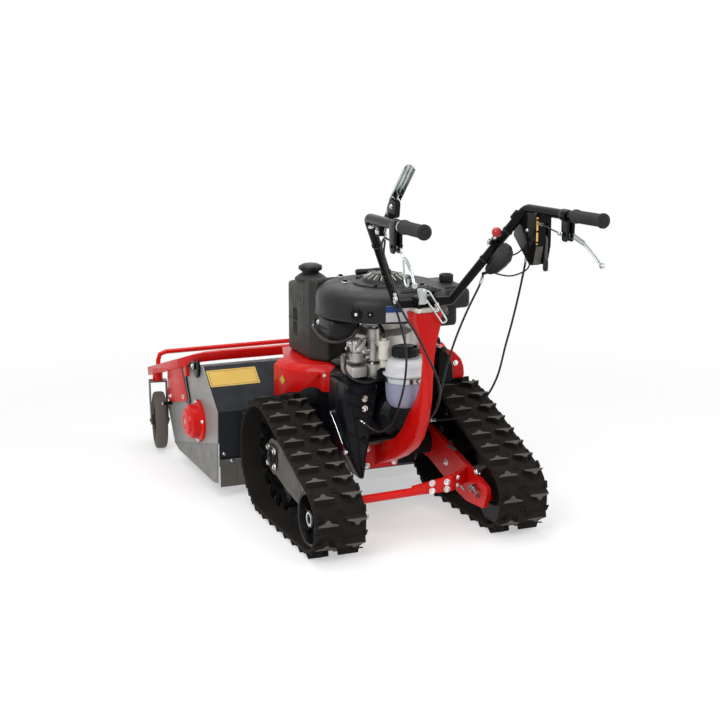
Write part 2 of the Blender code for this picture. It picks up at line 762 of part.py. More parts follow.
def make_column():
    """Red channel that rises from the gearcase to the handlebar clamp."""
    work = bmesh.new()
    rows = []
    count = len(COLUMN_STATIONS)
    for index, ((y, z), half, depth) in enumerate(COLUMN_STATIONS):
        before = Vector(COLUMN_STATIONS[max(index - 1, 0)][0])
        after = Vector(COLUMN_STATIONS[min(index + 1, count - 1)][0])
        along = (after - before).normalized()
        if index == 0:
            along = Vector((-1, 0))
        if index == count - 1:
            along = Vector((0, 1))
        front = (y + along.y * depth, z - along.x * depth)
        rows.append([
            work.verts.new((-half, *front)), work.verts.new((-half, y, z)),
            work.verts.new((half, y, z)), work.verts.new((half, *front))])
    for lower, upper in zip(rows, rows[1:]):
        for side in range(3):
            work.faces.new((lower[side], lower[side + 1], upper[side + 1], upper[side]))
    bmesh.ops.recalc_face_normals(work, faces=work.faces)
    column = from_bmesh("handle_column", work, RED)
    wall = column.modifiers.new("sheet", "SOLIDIFY")
    wall.thickness = SHELL
    wall.offset = 0.0
    foot = box("foot", (-0.056, FOOT_Y - 0.0063, 0.146), (0.052, FOOT_Y - GAP, 0.228), RED)
    cap = box("cap", (-0.040, -0.433, COLUMN_TOP - 0.004), (0.040, -0.376, COLUMN_TOP), RED)
    fuse(column, foot, cap)
    return column


def make_column_clamp():
    """Block on the column that grips the cross tube of the handlebar."""
    low = COLUMN_TOP + GAP
    block = box("column_clamp", (-0.034, -0.430, low), (0.034, -0.376, CROSS_TUBE_Z + 0.020), CREAM)
    bore = rod(
        "tube_bore", (-0.05, CROSS_TUBE_Y, CROSS_TUBE_Z), (0.05, CROSS_TUBE_Y, CROSS_TUBE_Z),
        HANDLE_TUBE_RADIUS * 1.02 + GAP, CREAM, 16)
    cut(block, bore)
    fuse(block, rod("lock_pin", (LOCK_X, -0.425, LOCK_Z), (LOCK_X, -0.4485, LOCK_Z), 0.004, STEEL, 8))
    return block


LOCK_X = -0.014
LOCK_Z = 0.7265


def make_lock_lever():
    """Cam block with a long wire loop that frees the handlebar clamp."""
    cam = box("lock_lever", (LOCK_X - 0.010, -0.448, LOCK_Z - 0.010),
        (LOCK_X + 0.010, -0.4305, LOCK_Z + 0.034), STEEL)
    cut(cam, rod("pin_bore", (LOCK_X, -0.42, LOCK_Z), (LOCK_X, -0.46, LOCK_Z), 0.0044, STEEL, 8))
    start_z = LOCK_Z + 0.020
    wire = rounded([
        (LOCK_X, -0.4435, start_z + 0.006), (LOCK_X + 0.020, -0.4435, start_z + 0.002),
        (0.052, -0.447, 0.668), (0.038, -0.447, 0.660), (LOCK_X + 0.004, -0.4435, start_z - 0.010)],
        0.012, 1)
    fuse(cam, pipe("loop", wire, 0.0028, STEEL, 1))
    hang(pivot("lock_lever_axis", (LOCK_X, -0.440, LOCK_Z)), cam)
    return cam


# Fender path in plan: the wall runs back along the side and turns in behind the engine
FENDER_PATH = (
    (-0.262, 0.136), (-0.258, 0.098), (-0.247, 0.062), (-0.230, 0.032),
    (-0.205, 0.010), (-0.176, -0.002), (-0.152, -0.012), (-0.143, -0.034))
FENDER_BOTTOM = (0.342, 0.352, 0.367, 0.3745, 0.3745, 0.375, 0.378, 0.380)
FENDER_EDGE = 0.440
FENDER_TOP = PLATE_TOP + GAP


def make_left_fender():
    """Red cover over the left side of the engine plate, with a chamfered shoulder."""
    work = bmesh.new()
    rows = []
    for index, ((x, y), bottom) in enumerate(zip(FENDER_PATH, FENDER_BOTTOM)):
        share = index / (len(FENDER_PATH) - 1)
        shoulder_x = x + 0.022 - 0.004 * share
        inner_x = -0.124
        inner_y = max(y, -0.030)
        rows.append([
            work.verts.new((x, y, bottom)), work.verts.new((x, y, FENDER_EDGE)),
            work.verts.new((shoulder_x, y + 0.004, FENDER_TOP)),
            work.verts.new((inner_x, inner_y + 0.004 + 0.0001 * index, FENDER_TOP))])
    for first, second in zip(rows, rows[1:]):
        for step in range(3):
            work.faces.new((first[step], first[step + 1], second[step + 1], second[step]))
    bmesh.ops.recalc_face_normals(work, faces=work.faces)
    fender = from_bmesh("left_fender", work, RED)
    wall = fender.modifiers.new("sheet", "SOLIDIFY")
    wall.thickness = 0.0025
    wall.offset = 1.0
    top = plate(
        "top_sheet", [(-0.236, 0.125), (-0.184, 0.280), (-0.124, 0.280), (-0.124, 0.125)],
        FENDER_TOP, FENDER_TOP + 0.0025, RED, axis="Z")
    fuse(fender, top)
    cut(fender, rod("notch", (-0.190, -0.10, 0.358), (-0.190, 0.12, 0.358), 0.036, RED, 14))
    fuse(fender, rod("bolt", (-0.172, -0.001, 0.430), (-0.172, -0.012, 0.430), 0.007, STEEL, 6))
    return fender


def make_right_fender():
    """Red cover with a rounded shoulder beside the engine, and the black guard behind it."""
    outline = [
        (0.1255, 0.4573), (0.215, 0.472), (0.262, 0.476), (0.290, 0.463), (0.312, 0.440), (0.322, 0.415),
        (0.326, 0.388), (0.250, 0.388), (0.250, 0.425), (0.1255, 0.430)]
    cover = plate("right_fender", outline, -0.010, 0.190, RED, axis="Y")
    outline = [
        (0.206, 0.386), (0.262, 0.386), (0.262, 0.455), (0.254, 0.480), (0.236, 0.494), (0.206, 0.498)]
    guard = plate("guard", outline, -0.070, -0.009, BLACK, axis="Y")
    knob = rod("knob", (0.218, -0.069, 0.492), (0.218, -0.084, 0.492), 0.010, BLACK, 8)
    return fuse(cover, guard, knob)


DECK_TOP_PATH = ((DECK_BACK_Y, 0.100), (DECK_BACK_Y, 0.278), (0.372, 0.390), (0.600, 0.341), (0.690, 0.320))
DECK_INSIDE = DECK_HALF_WIDTH - SIDE_PLATE - GAP


def make_deck_shell():
    """Charcoal roof and back of the flail chamber."""
    work = bmesh.new()
    left = [work.verts.new((-DECK_INSIDE, y, z)) for y, z in DECK_TOP_PATH]
    right = [work.verts.new((DECK_INSIDE, y, z)) for y, z in DECK_TOP_PATH]
    for index in range(len(DECK_TOP_PATH) - 1):
        work.faces.new((left[index], right[index], right[index + 1], left[index + 1]))
    bmesh.ops.recalc_face_normals(work, faces=work.faces)
    shell = from_bmesh("deck_shell", work, CHARCOAL)
    wall = shell.modifiers.new("sheet", "SOLIDIFY")
    wall.thickness = DECK_SHEET
    wall.offset = 1.0
    wall.use_even_offset = True
    return shell


SIDE_OUTLINE = (
    (0.226, 0.278), (0.302, 0.338), (0.374, 0.397), (0.683, 0.327), (0.797, 0.164),
    (0.722, 0.052), (0.667, 0.038), (0.276, 0.036), (0.238, 0.043))
ROTOR_SHAFT_RADIUS = 0.0175


def make_side_plate(name, side):
    low, high = sorted((side * (DECK_HALF_WIDTH - SIDE_PLATE), side * DECK_HALF_WIDTH))
    sheet = plate(name, rounded(SIDE_OUTLINE, 0.008, 1, True), low, high, GREY)
    cut(sheet, rod(
        "shaft_hole", (side * (DECK_HALF_WIDTH - 0.02), ROTOR_Y, ROTOR_Z),
        (side * (DECK_HALF_WIDTH + 0.02), ROTOR_Y, ROTOR_Z),
        ROTOR_SHAFT_RADIUS * 1.035 + GAP, GREY, 12))
    return sheet


def make_rear_flap():
    back = DECK_BACK_Y - DECK_SHEET - GAP
    return box("rear_flap", (-DECK_INSIDE, back - 0.004, 0.034), (DECK_INSIDE, back, 0.128), GRIP_RUBBER)


FLAP_HINGE_Y = 0.688
FLAP_HINGE_Z = 0.300


def make_front_flap():
    """Hinged steel curtain across the front of the deck."""
    half = DECK_INSIDE
    flap = box("front_flap", (-half, FLAP_HINGE_Y - 0.0015, 0.060),
        (half, FLAP_HINGE_Y + 0.0015, FLAP_HINGE_Z), CHARCOAL)
    barrel = rod("barrel", (-half, FLAP_HINGE_Y, FLAP_HINGE_Z), (half, FLAP_HINGE_Y, FLAP_HINGE_Z), 0.006,
        CHARCOAL, 8)
    fuse(flap, barrel)
    hang(pivot("front_flap_axis", (0, FLAP_HINGE_Y, FLAP_HINGE_Z)), flap)
    return flap


def make_bearing_cover():
    """Stepped red cap over the left rotor bearing, on a dark flange."""
    base = DECK_HALF_WIDTH + GAP
    profile = (
        (0, 0.050), (0.041, 0.050), (0.047, 0.040), (0.056, 0.036), (0.057, 0.012), (0.066, 0.010),
        (0.066, 0),
        (0.026, 0), (0.026, 0.014), (0, 0.014))
    cover = turned("bearing_cover", profile, RED, (-base, ROTOR_Y, ROTOR_Z), "-X", 14)
    for angle in (80, -100):
        y = ROTOR_Y + 0.060 * math.cos(math.radians(angle))
        z = ROTOR_Z + 0.060 * math.sin(math.radians(angle))
        fuse(cover, rod("lug", (-base - 0.004, y, z), (-base - 0.020, y, z), 0.010, RED, 6))
    return cover


DRIVE_COVER_DEPTH = 0.050
JACK_Y = 0.470
JACK_Z = 0.335


def make_drive_cover():
    """Red case over the belt that drives the rotor on the right side."""
    base = DECK_HALF_WIDTH + GAP
    outline = arc((ROTOR_Y, ROTOR_Z), 0.070, 195, 345, 6) + arc((JACK_Y, JACK_Z), 0.046, -15, 165, 5)
    inner = arc((ROTOR_Y, ROTOR_Z), 0.066, 195, 345, 6) + arc((JACK_Y, JACK_Z), 0.042, -15, 165, 5)
    case = plate("drive_cover", outline, base, base + DRIVE_COVER_DEPTH, RED)
    cut(case, plate("inside", inner, base - 0.01, base + DRIVE_COVER_DEPTH - 0.005, RED))
    return case


def rod_angle(row):
    return 2 * PI * row / HAMMER_ROWS + PI / 4


ROTOR_HALF = DECK_HALF_WIDTH - 0.028
DISC_HALF = 0.004
ROTOR_DISCS = 3


def disc_places():
    last = ROTOR_HALF - 0.020
    return [-last + 2 * last * index / (ROTOR_DISCS - 1) for index in range(ROTOR_DISCS)]


def make_rotor():
    """Rotor tube with three discs that carry the hammer rods, between its two shaft ends."""
    end = DECK_HALF_WIDTH + 0.013
    drive_end = DECK_HALF_WIDTH + 0.034
    profile = [(0, drive_end), (ROTOR_SHAFT_RADIUS, drive_end), (ROTOR_SHAFT_RADIUS, ROTOR_HALF),
               (ROTOR_TUBE_RADIUS, ROTOR_HALF)]
    for x in reversed(disc_places()):
        profile += [
            (ROTOR_TUBE_RADIUS, x + DISC_HALF), (ROTOR_DISC_RADIUS, x + DISC_HALF),
            (ROTOR_DISC_RADIUS, x - DISC_HALF), (ROTOR_TUBE_RADIUS, x - DISC_HALF)]
    profile += [(ROTOR_TUBE_RADIUS, -ROTOR_HALF), (ROTOR_SHAFT_RADIUS, -ROTOR_HALF),
                (ROTOR_SHAFT_RADIUS, -end), (0, -end)]
    rotor = turned("hammer_rotor", profile, BLACK, (0, ROTOR_Y, ROTOR_Z), "X", 12)
    holes = bmesh.new()
    for row in range(HAMMER_ROWS):
        angle = rod_angle(row)
        place = Matrix.Translation((0, HAMMER_ROD_ORBIT * math.cos(angle),
            HAMMER_ROD_ORBIT * math.sin(angle)))
        place = place @ Matrix.Rotation(PI / 2, 4, "Y")
        bmesh.ops.create_cone(
            holes, cap_ends=True, segments=6, radius1=ROD_HOLE, radius2=ROD_HOLE,
            depth=2 * ROTOR_HALF - 0.002, matrix=place)
    bores = from_bmesh("rod_holes", holes, BLACK)
    bores.location = (0, ROTOR_Y, ROTOR_Z)
    cut(rotor, bores)
    hang(pivot("hammer_rotor_axis", (0, ROTOR_Y, ROTOR_Z)), rotor)
    return rotor


def make_hammer_row(row):
    """One rod through the rotor discs with its cast hammers."""
    angle = rod_angle(row)
    y = ROTOR_Y + HAMMER_ROD_ORBIT * math.cos(angle)
    z = ROTOR_Z + HAMMER_ROD_ORBIT * math.sin(angle)
    half = ROTOR_HALF - 0.008
    bar = rod("hammer_row_" + str(row + 1), (-half, y, z), (half, y, z), HAMMER_ROD_RADIUS, STEEL, 6)
    bar_turn = Matrix.Rotation(angle, 3, "X")
    places = disc_places()
    work = bmesh.new()
    shift = 0.022 * (1 if row % 2 else -1)
    outline = ((-0.026, -0.010), (0.026, -0.010), (0.046, HAMMER_REACH), (-0.046, HAMMER_REACH))
    for left, right in zip(places, places[1:]):
        for index in range(HAMMERS_PER_GAP):
            x = left + (right - left) * (index + 0.5) / HAMMERS_PER_GAP + shift
            add_hammer(work, outline, Matrix.Translation((x, 0, 0)))
    hammers = from_bmesh("hammers", work, STEEL)
    hammers.location = (0, y, z)
    hammers.rotation_euler = bar_turn.to_euler()
    fuse(bar, hammers)
    hang(pivot("hammer_row_axis_" + str(row + 1), (0, y, z)), bar)
    return bar


def add_hammer(work, outline, frame):
    """A hammer outline (x, outward) with a thick head and a thin edge at its tip."""
    front = []
    back = []
    for across, outward in outline:
        half = 0.011 if outward < HAMMER_REACH * 0.8 else 0.003
        front.append(work.verts.new(frame @ Vector((across, outward, half))))
        back.append(work.verts.new(frame @ Vector((across, outward, -half))))
    count = len(outline)
    for index in range(count):
        after = (index + 1) % count
        work.faces.new((back[index], back[after], front[after], front[index]))
    work.faces.new(front)
    work.faces.new(list(reversed(back)))


BAR_TALL = 0.0125
BAR_WIDE = 0.0145
BAR_X = DECK_HALF_WIDTH + BAR_WIDE + 0.001
HOOP_Y = CASTER_Y - 0.013
HOOP_TOP = CASTER_BOSS_BOTTOM + 0.102
BAR_BEND_Y = 0.572
BAR_BEND_Z = 0.3663
BAR_END_Y = CASTER_Y + 0.063
BAR_END_Z = CASTER_BOSS_BOTTOM + 0.019


def frame_height(y):
    """Middle of the sloping side bar of the front frame at a given y."""
    return BAR_BEND_Z + (BAR_END_Z - BAR_BEND_Z) * (y - BAR_BEND_Y) / (BAR_END_Y - BAR_BEND_Y)


def make_front_frame():
    """Red flat bar over the deck with caster bosses, hoop and hanger plates."""
    path = mirrored(rounded([
        (-BAR_X, BAR_END_Y, BAR_END_Z), (-BAR_X, BAR_BEND_Y, BAR_BEND_Z), (0.0345 - BAR_X, 0.480, 0.402),
        (0.0995 - BAR_X, 0.455, 0.410), (0.2395 - BAR_X, 0.452, 0.410)], 0.04, 1))
    section = bpy.data.curves.new("bar_section", "CURVE")
    section.dimensions = "2D"
    outline = section.splines.new("POLY")
    corners = [(-BAR_TALL, -BAR_WIDE), (BAR_TALL, -BAR_WIDE), (BAR_TALL, BAR_WIDE), (-BAR_TALL, BAR_WIDE)]
    outline.points.add(len(corners) - 1)
    for point, (first, second) in zip(outline.points, corners):
        point.co = (first, second, 0, 1)
    outline.use_cyclic_u = True
    guide = bpy.data.objects.new("bar_section", section)
    guide.hide_render = True
    guide.display_type = "WIRE"
    CUTTERS.objects.link(guide)
    bar = pipe("front_frame", path, 0.0, RED)
    bar.data.bevel_mode = "OBJECT"
    bar.data.bevel_object = guide
    bar.data.twist_mode = "Z_UP"
    bar = as_mesh(bar)
    bar.data.materials.clear()
    bar.data.materials.append(RED)
    hoop_foot = CASTER_BOSS_TOP - 0.005
    hoop = rounded([
        (-CASTER_X, HOOP_Y, hoop_foot), (-CASTER_X, HOOP_Y, HOOP_TOP), (CASTER_X, HOOP_Y, HOOP_TOP),
        (CASTER_X, HOOP_Y, hoop_foot)], 0.035, 2)
    fuse(bar, pipe("hoop", hoop, 0.0085, RED, 1))
    for side in (-1, 1):
        low, high = sorted((side * (DECK_HALF_WIDTH + GAP), side * (DECK_HALF_WIDTH + 0.0063)))
        hanger = plate(
            "hanger", [
                (0.602, frame_height(0.602) - 0.0074), (0.770, frame_height(0.770) - 0.0077), (0.776, 0.196),
                (0.750, 0.190), (0.548, 0.238), (0.536, 0.252)],
            low, high, RED)
        fuse(bar, hanger)
        boss = rod("boss", (side * CASTER_X, CASTER_Y, CASTER_BOSS_BOTTOM),
            (side * CASTER_X, CASTER_Y, CASTER_BOSS_TOP),
                   0.018, RED, 12)
        fuse(bar, boss)
        bore = rod("boss_bore", (side * CASTER_X, CASTER_Y, CASTER_BOSS_BOTTOM - 0.01),
                   (side * CASTER_X, CASTER_Y, CASTER_BOSS_TOP - 0.0147), 0.0098, RED, 8)
        cut(bar, bore)
    return bar


def make_caster(name, side):
    """Swivelling fork and wheel; returns both pieces."""
    x = side * CASTER_X
    wheel_y = CASTER_Y - CASTER_TRAIL
    swivel = pivot(name + "_swivel_axis", (x, CASTER_Y, CASTER_BOSS_BOTTOM))
    leg = CASTER_WHEEL_WIDTH / 2 + 0.004
    top = CASTER_BOSS_BOTTOM - GAP
    bar_low = top - 0.005
    axle_z = CASTER_WHEEL_RADIUS
    stem = rod(name + "_fork", (x, CASTER_Y, top - 0.003), (x, CASTER_Y, CASTER_BOSS_TOP - 0.015), 0.009,
        BLACK, 8)
    crown = box("crown", (x - leg - 0.004, CASTER_Y - 0.018, bar_low),
        (x + leg + 0.004, CASTER_Y + 0.018, top), BLACK)
    fuse(stem, crown)
    for edge in (-1, 1):
        inner = x + edge * leg
        low, high = sorted((inner, inner + edge * 0.004))
        outline = [(CASTER_Y - 0.017, top - 0.001), (CASTER_Y + 0.017, top - 0.001),
            (CASTER_Y + 0.008, top - 0.0707)]
        outline += arc((wheel_y, axle_z), 0.016, 0, -200, 4)
        fuse(stem, plate("leg", outline, low, high, BLACK))
    fuse(stem, rod("axle", (x - leg - 0.008, wheel_y, axle_z), (x + leg + 0.008, wheel_y, axle_z), 0.006,
        STEEL, 8))
    radius = CASTER_WHEEL_RADIUS
    half = CASTER_WHEEL_WIDTH / 2
    steps = 16
    bore = (0.006 + GAP) / math.cos(PI / steps)
    profile = (
        (bore, 0.026), (0.019, 0.026), (0.019, 0.013), (0.068, 0.013), (0.075, half), (radius, half - 0.007),
        (radius, 0.007 - half), (0.075, -half), (0.068, -0.013), (0.019, -0.013), (0.019, -0.026),
        (bore, -0.026))
    center = (x, wheel_y, axle_z)
    wheel = turned(name + "_wheel", profile, TRACK_RUBBER, center, "X", steps, ring=True)
    spin = pivot(name + "_wheel_axis", center)
    hang(spin, wheel)
    hang(swivel, spin, stem)
    swivel.rotation_euler.z = -side * CASTER_REST_TURN
    return stem, wheel


BACKPLATE_TOP = 0.617
CYLINDER_X = 0.105
CYLINDER_Z = 0.545


def make_crankcase():
    """Aluminium crankcase with a finned cylinder that points forward."""
    base = PLATE_TOP + GAP
    profile = (
        (0, BACKPLATE_TOP), (0.106, BACKPLATE_TOP), (0.106, BACKPLATE_TOP - 0.005),
        (0.060, BACKPLATE_TOP - 0.005), (CRANKCASE_RADIUS, 0.578), (CRANKCASE_RADIUS, 0.468), (0.097, 0.466),
        (0.097, base), (0, base))
    case = turned("crankcase", profile, ALUMINIUM, (0, ENGINE_Y, 0), "Z", 16)
    x = CYLINDER_X
    z = CYLINDER_Z
    barrel = box("barrel", (x - 0.036, ENGINE_Y + 0.030, z - 0.036), (x + 0.036, 0.120, z + 0.036),
        ALUMINIUM)
    fuse(case, barrel)
    for index in range(4):
        y = 0.016 + 0.022 * index
        fuse(case, box("fin", (x - 0.054, y, z - 0.050), (x + 0.054, y + 0.006, z + 0.050), ALUMINIUM))
    return fuse(case, box("head", (x - 0.048, 0.100, z - 0.044), (x + 0.048, 0.126, z + 0.044), ALUMINIUM))


def make_blower_shroud():
    """Round black shroud over the flywheel, with a wing and a skirt on its right."""
    wall = SHELL
    top = SHROUD_TOP
    profile = [
        (0.088, top), (0.160, top), (0.188, top - 0.014), (SHROUD_RADIUS, top - 0.038),
        (SHROUD_RADIUS, SHROUD_BOTTOM), (SHROUD_RADIUS - wall, SHROUD_BOTTOM),
        (SHROUD_RADIUS - wall, top - 0.040),
        (0.160, top - wall - 0.002), (0.088, top - wall - 0.002)]
    shroud = turned("blower_shroud", profile, BLACK_PLASTIC, (0, ENGINE_Y, 0), "Z", 20, ring=True)
    wing = box("wing", (0.150, -0.195, 0.642), (0.252, 0.000, 0.704), BLACK_PLASTIC, 0.014, 1)
    skirt = box("skirt", (0.150, -0.150, 0.582), (0.226, -0.030, 0.650), BLACK_PLASTIC)
    fuse(shroud, wing, skirt)
    for x, y in ((-0.048, 0.083), (-0.048, -0.083), (0.095, 0.010)):
        leg = rod("stay", (x, ENGINE_Y + y, BACKPLATE_TOP + GAP), (x, ENGINE_Y + y, top - 0.003), 0.007,
            BLACK, 6)
        fuse(shroud, leg)
    return shroud


RECOIL_X = 0.010
RECOIL_Y = -0.100


def make_recoil_cover():
    """Starter housing on top of the shroud, with a ring of cooling slots."""
    base = SHROUD_TOP + GAP
    outer = [(0, base + 0.030), (0.058, base + 0.030), (0.084, base + 0.020), (0.098, base)]
    inner = [(0.094, base), (0.081, base + 0.018), (0.056, base + 0.027), (0, base + 0.027)]
    cover = turned("recoil_cover", outer + inner, BLACK_PLASTIC, (RECOIL_X, RECOIL_Y, 0), "Z", 16)
    slots = bmesh.new()
    count = 6
    for index in range(count):
        turn = Matrix.Rotation(2 * PI * (index + 0.5) / count, 4, "Z")
        place = turn @ Matrix.Translation((0.072, 0, base + 0.024)) @ Matrix.Diagonal((0.030, 0.011, 0.030,
            1))
        bmesh.ops.create_cube(slots, size=1.0, matrix=place)
    grille = from_bmesh("slots", slots, BLACK_PLASTIC)
    grille.location = (RECOIL_X, RECOIL_Y, 0)
    nose = box(
        "rope_outlet", (RECOIL_X - 0.014, RECOIL_Y + 0.080, base),
        (RECOIL_X + 0.014, STARTER_Y - GAP, base + 0.018),
        BLACK_PLASTIC)
    return fuse(cut(cover, grille), nose)


STARTER_Y = RECOIL_Y + 0.112


def make_starter_grip():
    """Handle of the starter rope, resting on the outlet at the front of its housing."""
    z = SHROUD_TOP + 0.010
    stem = rod("starter_grip", (RECOIL_X, STARTER_Y, z), (RECOIL_X, STARTER_Y + 0.012, z), 0.0075,
        BLACK_PLASTIC, 8)
    bar = rod(
        "bar", (RECOIL_X - 0.042, STARTER_Y + 0.018, z + 0.002),
        (RECOIL_X + 0.042, STARTER_Y + 0.018, z + 0.002),
        0.0095, BLACK_PLASTIC, 8)
    fuse(stem, bar)
    hang(pivot("starter_grip_axis", (RECOIL_X, STARTER_Y, z)), stem)
    return stem


def make_air_cleaner():
    return box("air_cleaner", (-0.196, -0.170, 0.574), (-0.110, -0.060, 0.6345), BLACK_PLASTIC, 0.018, 1)


def make_carburettor():
    """Carburettor between the air cleaner and the crankcase."""
    top = 0.574 - GAP
    body = box("carburettor", (-0.136, -0.200, 0.534), (-0.096, -0.150, top), ALUMINIUM)
    bowl = rod("bowl", (-0.116, -0.178, 0.498), (-0.116, -0.178, 0.540), 0.021, ALUMINIUM, 12)
    wall = CRANKCASE_RADIUS - 0.0005
    throat = rod("throat", (-0.110, -0.165, 0.552), (-wall * 0.86, ENGINE_Y - wall * 0.51, 0.552), 0.012,
        ALUMINIUM, 8)
    return fuse(body, bowl, throat)


def make_muffler():
    """Exhaust box beside the cylinder on the right."""
    side = CYLINDER_X + 0.054 + GAP
    body = box("muffler", (side, 0.030, 0.505), (side + 0.066, 0.120, 0.590), BLACK, 0.012, 1)
    outlet = rod("outlet", (side + 0.050, 0.110, 0.530), (side + 0.070, 0.150, 0.520), 0.012, BLACK, 8)
    return fuse(body, outlet)


TANK_BASE = FENDER_TOP + 0.0025 + GAP


CAP_X = -0.138
CAP_Y = 0.142


def make_fuel_tank():
    """Jug-shaped fuel tank hollowed round the shroud, its top falling towards the front."""
    outline = [
        (-0.172, 0.068), (-0.126, 0.010), (-0.040, 0.105), (0.034, 0.150), (0.034, 0.262), (-0.172, 0.262)]
    tank = plate("fuel_tank", outline, TANK_BASE, 0.700, TANK_PLASTIC, axis="Z")
    for corner in tank.data.vertices:
        if corner.co.z > 0:
            corner.co.z += 0.016 - max(corner.co.y - 0.068, 0.0) * 0.19
    soften(tank, 0.010, 2, 40)
    tank = as_mesh(tank)
    tank.data.materials.append(TANK_PLASTIC)
    bay = SHROUD_BOTTOM - 0.012
    cut(tank, rod("shroud_bay", (0, ENGINE_Y, bay), (0, ENGINE_Y, 0.80), SHROUD_RADIUS + 0.006,
        TANK_PLASTIC, 24))
    neck = rod("neck", (CAP_X, CAP_Y, 0.680), (CAP_X, CAP_Y, 0.722), 0.022, TANK_PLASTIC, 12)
    slot = box("side_slot", (-0.180, 0.175, 0.520), (-0.164, 0.205, 0.600), TANK_PLASTIC)
    fuse(tank, neck)
    return cut(tank, slot)


def make_fuel_cap():
    profile = (
        (0, 0.750), (0.024, 0.750), (0.036, 0.742), (0.036, 0.730), (0.026, 0.7223), (0, 0.7223))
    cap = turned("fuel_cap", profile, BLACK_PLASTIC, (CAP_X, CAP_Y, 0), "Z", 16)
    hang(pivot("fuel_cap_axis", (CAP_X, CAP_Y, 0.728)), cap)
    return cap


OIL_CAP_X = 0.213
OIL_CAP_Z = 0.704


def make_oil_cap():
    base = OIL_CAP_Z
    profile = (
        (0, base + 0.030), (0.019, base + 0.030), (0.021, base + 0.012), (0.014, base + 0.010),
        (0.014, base + GAP), (0, base + GAP))
    cap = turned("oil_cap", profile, BLACK_PLASTIC, (OIL_CAP_X, ENGINE_Y, 0), "Z", 12)
    hang(pivot("oil_cap_axis", (OIL_CAP_X, ENGINE_Y, base)), cap)
    return cap


def make_bottle():
    """Translucent oil reservoir behind the engine, made of two welded halves."""
    wide = BOTTLE_RADIUS
    profile = (
        (0, 0.538), (0.030, 0.538), (0.047, 0.528), (0.056, 0.514), (wide, 0.491),
        (wide + 0.0075, 0.490), (wide + 0.0075, 0.484), (wide, 0.482), (wide - 0.003, 0.412),
        (0.042, 0.388), (0, 0.388))
    return turned("oil_bottle", profile, WHITE_PLASTIC, (BOTTLE_X, BOTTLE_Y, 0), "Z", BOTTLE_STEPS)


def make_bottle_cap():
    profile = ((0, 0.567), (0.036, 0.567), (0.040, 0.562), (0.040, 0.5383), (0, 0.5383))
    cap = turned("bottle_cap", profile, BLACK_PLASTIC, (BOTTLE_X, BOTTLE_Y, 0), "Z", 16)
    hang(pivot("bottle_cap_axis", (BOTTLE_X, BOTTLE_Y, 0.552)), cap)
    return cap


# Handlebar, left half from the grip end inwards
BAR_POINTS = ((-0.2515, -0.9300, 1.0080), (-0.2370, -0.5560, 0.9920), (-0.0850, CROSS_TUBE_Y, CROSS_TUBE_Z))
LEVER_BRACKET_Y = -0.765
LEVER_X = 0.250
BRACKET_LOW = 0.930


def bar_height(y):
    """Height of the grip stretch of the bar at a given y."""
    share = (y - BAR_POINTS[1][1]) / (BAR_POINTS[0][1] - BAR_POINTS[1][1])
    return BAR_POINTS[1][2] + share * (BAR_POINTS[0][2] - BAR_POINTS[1][2])


def bar_path():
    return rounded(mirrored(BAR_POINTS), 0.040, 3)


def make_handlebar():
    """One bent tube with the lever brackets and the throttle housing on it."""
    bar = as_mesh(pipe("handlebar", bar_path(), HANDLE_TUBE_RADIUS, BLACK, 2))
    for side in (-1, 1):
        x = side * LEVER_X
        top = bar_height(LEVER_BRACKET_Y) + 0.012
        bracket = box("lever_bracket", (x - 0.014, LEVER_BRACKET_Y - 0.022, BRACKET_LOW),
                      (x + 0.014, LEVER_BRACKET_Y + 0.014, top), BLACK)
        fuse(bar, bracket)
        slot = box("lever_slot", (x - 0.0045, LEVER_BRACKET_Y - 0.040, BRACKET_LOW - 0.01),
                   (x + 0.0045, LEVER_BRACKET_Y + 0.004, BRACKET_LOW + 0.036), BLACK)
        cut(bar, slot)
    outline = [(-0.560, 0.905), (-0.512, 0.872), (-0.452, 0.822), (-0.440, 0.800), (-0.478, 0.806),
        (-0.560, 0.855)]
    housing = plate("throttle_housing", outline, THROTTLE_X - 0.013, THROTTLE_X + 0.013, BLACK_PLASTIC)
    fuse(bar, housing)
    x, y, z = KNOB_PIVOT
    mount = plate("knob_mount", [(y - 0.010, z - 0.008), (y + 0.012, z - 0.008), (y + 0.010, z + 0.008),
        (y - 0.008, z + 0.008)],
                  x + 0.0033, x + 0.0300, BLACK)
    x, y, z = CLUTCH_PIVOT
    low = x - CLUTCH_HALF - GAP
    outline = [(y - 0.016, z - 0.012), (y + 0.016, z - 0.012), (y + 0.018, z + 0.034),
        (y - 0.018, z + 0.036)]
    ear = plate("clutch_ear", outline, -0.230, low, BLACK)
    pin = rod("clutch_pin", (low - 0.004, y, z), (x + 0.008, y, z), 0.005, BLACK, 8)
    return fuse(bar, mount, ear, pin)


def make_grip(name, side):
    """Ribbed rubber sleeve with a flanged end."""
    end = Vector((side * 0.2520, -0.9480, bar_height(-0.948)))
    first = Vector((-side * BAR_POINTS[1][0], BAR_POINTS[1][1], BAR_POINTS[1][2]))
    along = (end - first).normalized()
    start = end - along * GRIP_LENGTH
    bore = HANDLE_TUBE_RADIUS * 1.03 + GAP
    flange = GRIP_RADIUS + 0.003
    profile = [
        (0, GRIP_LENGTH), (flange, GRIP_LENGTH), (flange, GRIP_LENGTH - 0.014),
        (GRIP_RADIUS, GRIP_LENGTH - 0.020),
        (GRIP_RADIUS + 0.002, 0.010), (GRIP_RADIUS + 0.002, 0), (bore, 0), (bore, GRIP_LENGTH - 0.012),
        (0, GRIP_LENGTH - 0.012)]
    grip = turned(name, profile, GRIP_RUBBER, start, "Z", 14)
    grip.rotation_euler = along.to_track_quat("Z", "Y").to_euler()
    return grip


LEVER_PIVOT_Z = BRACKET_LOW + 0.018


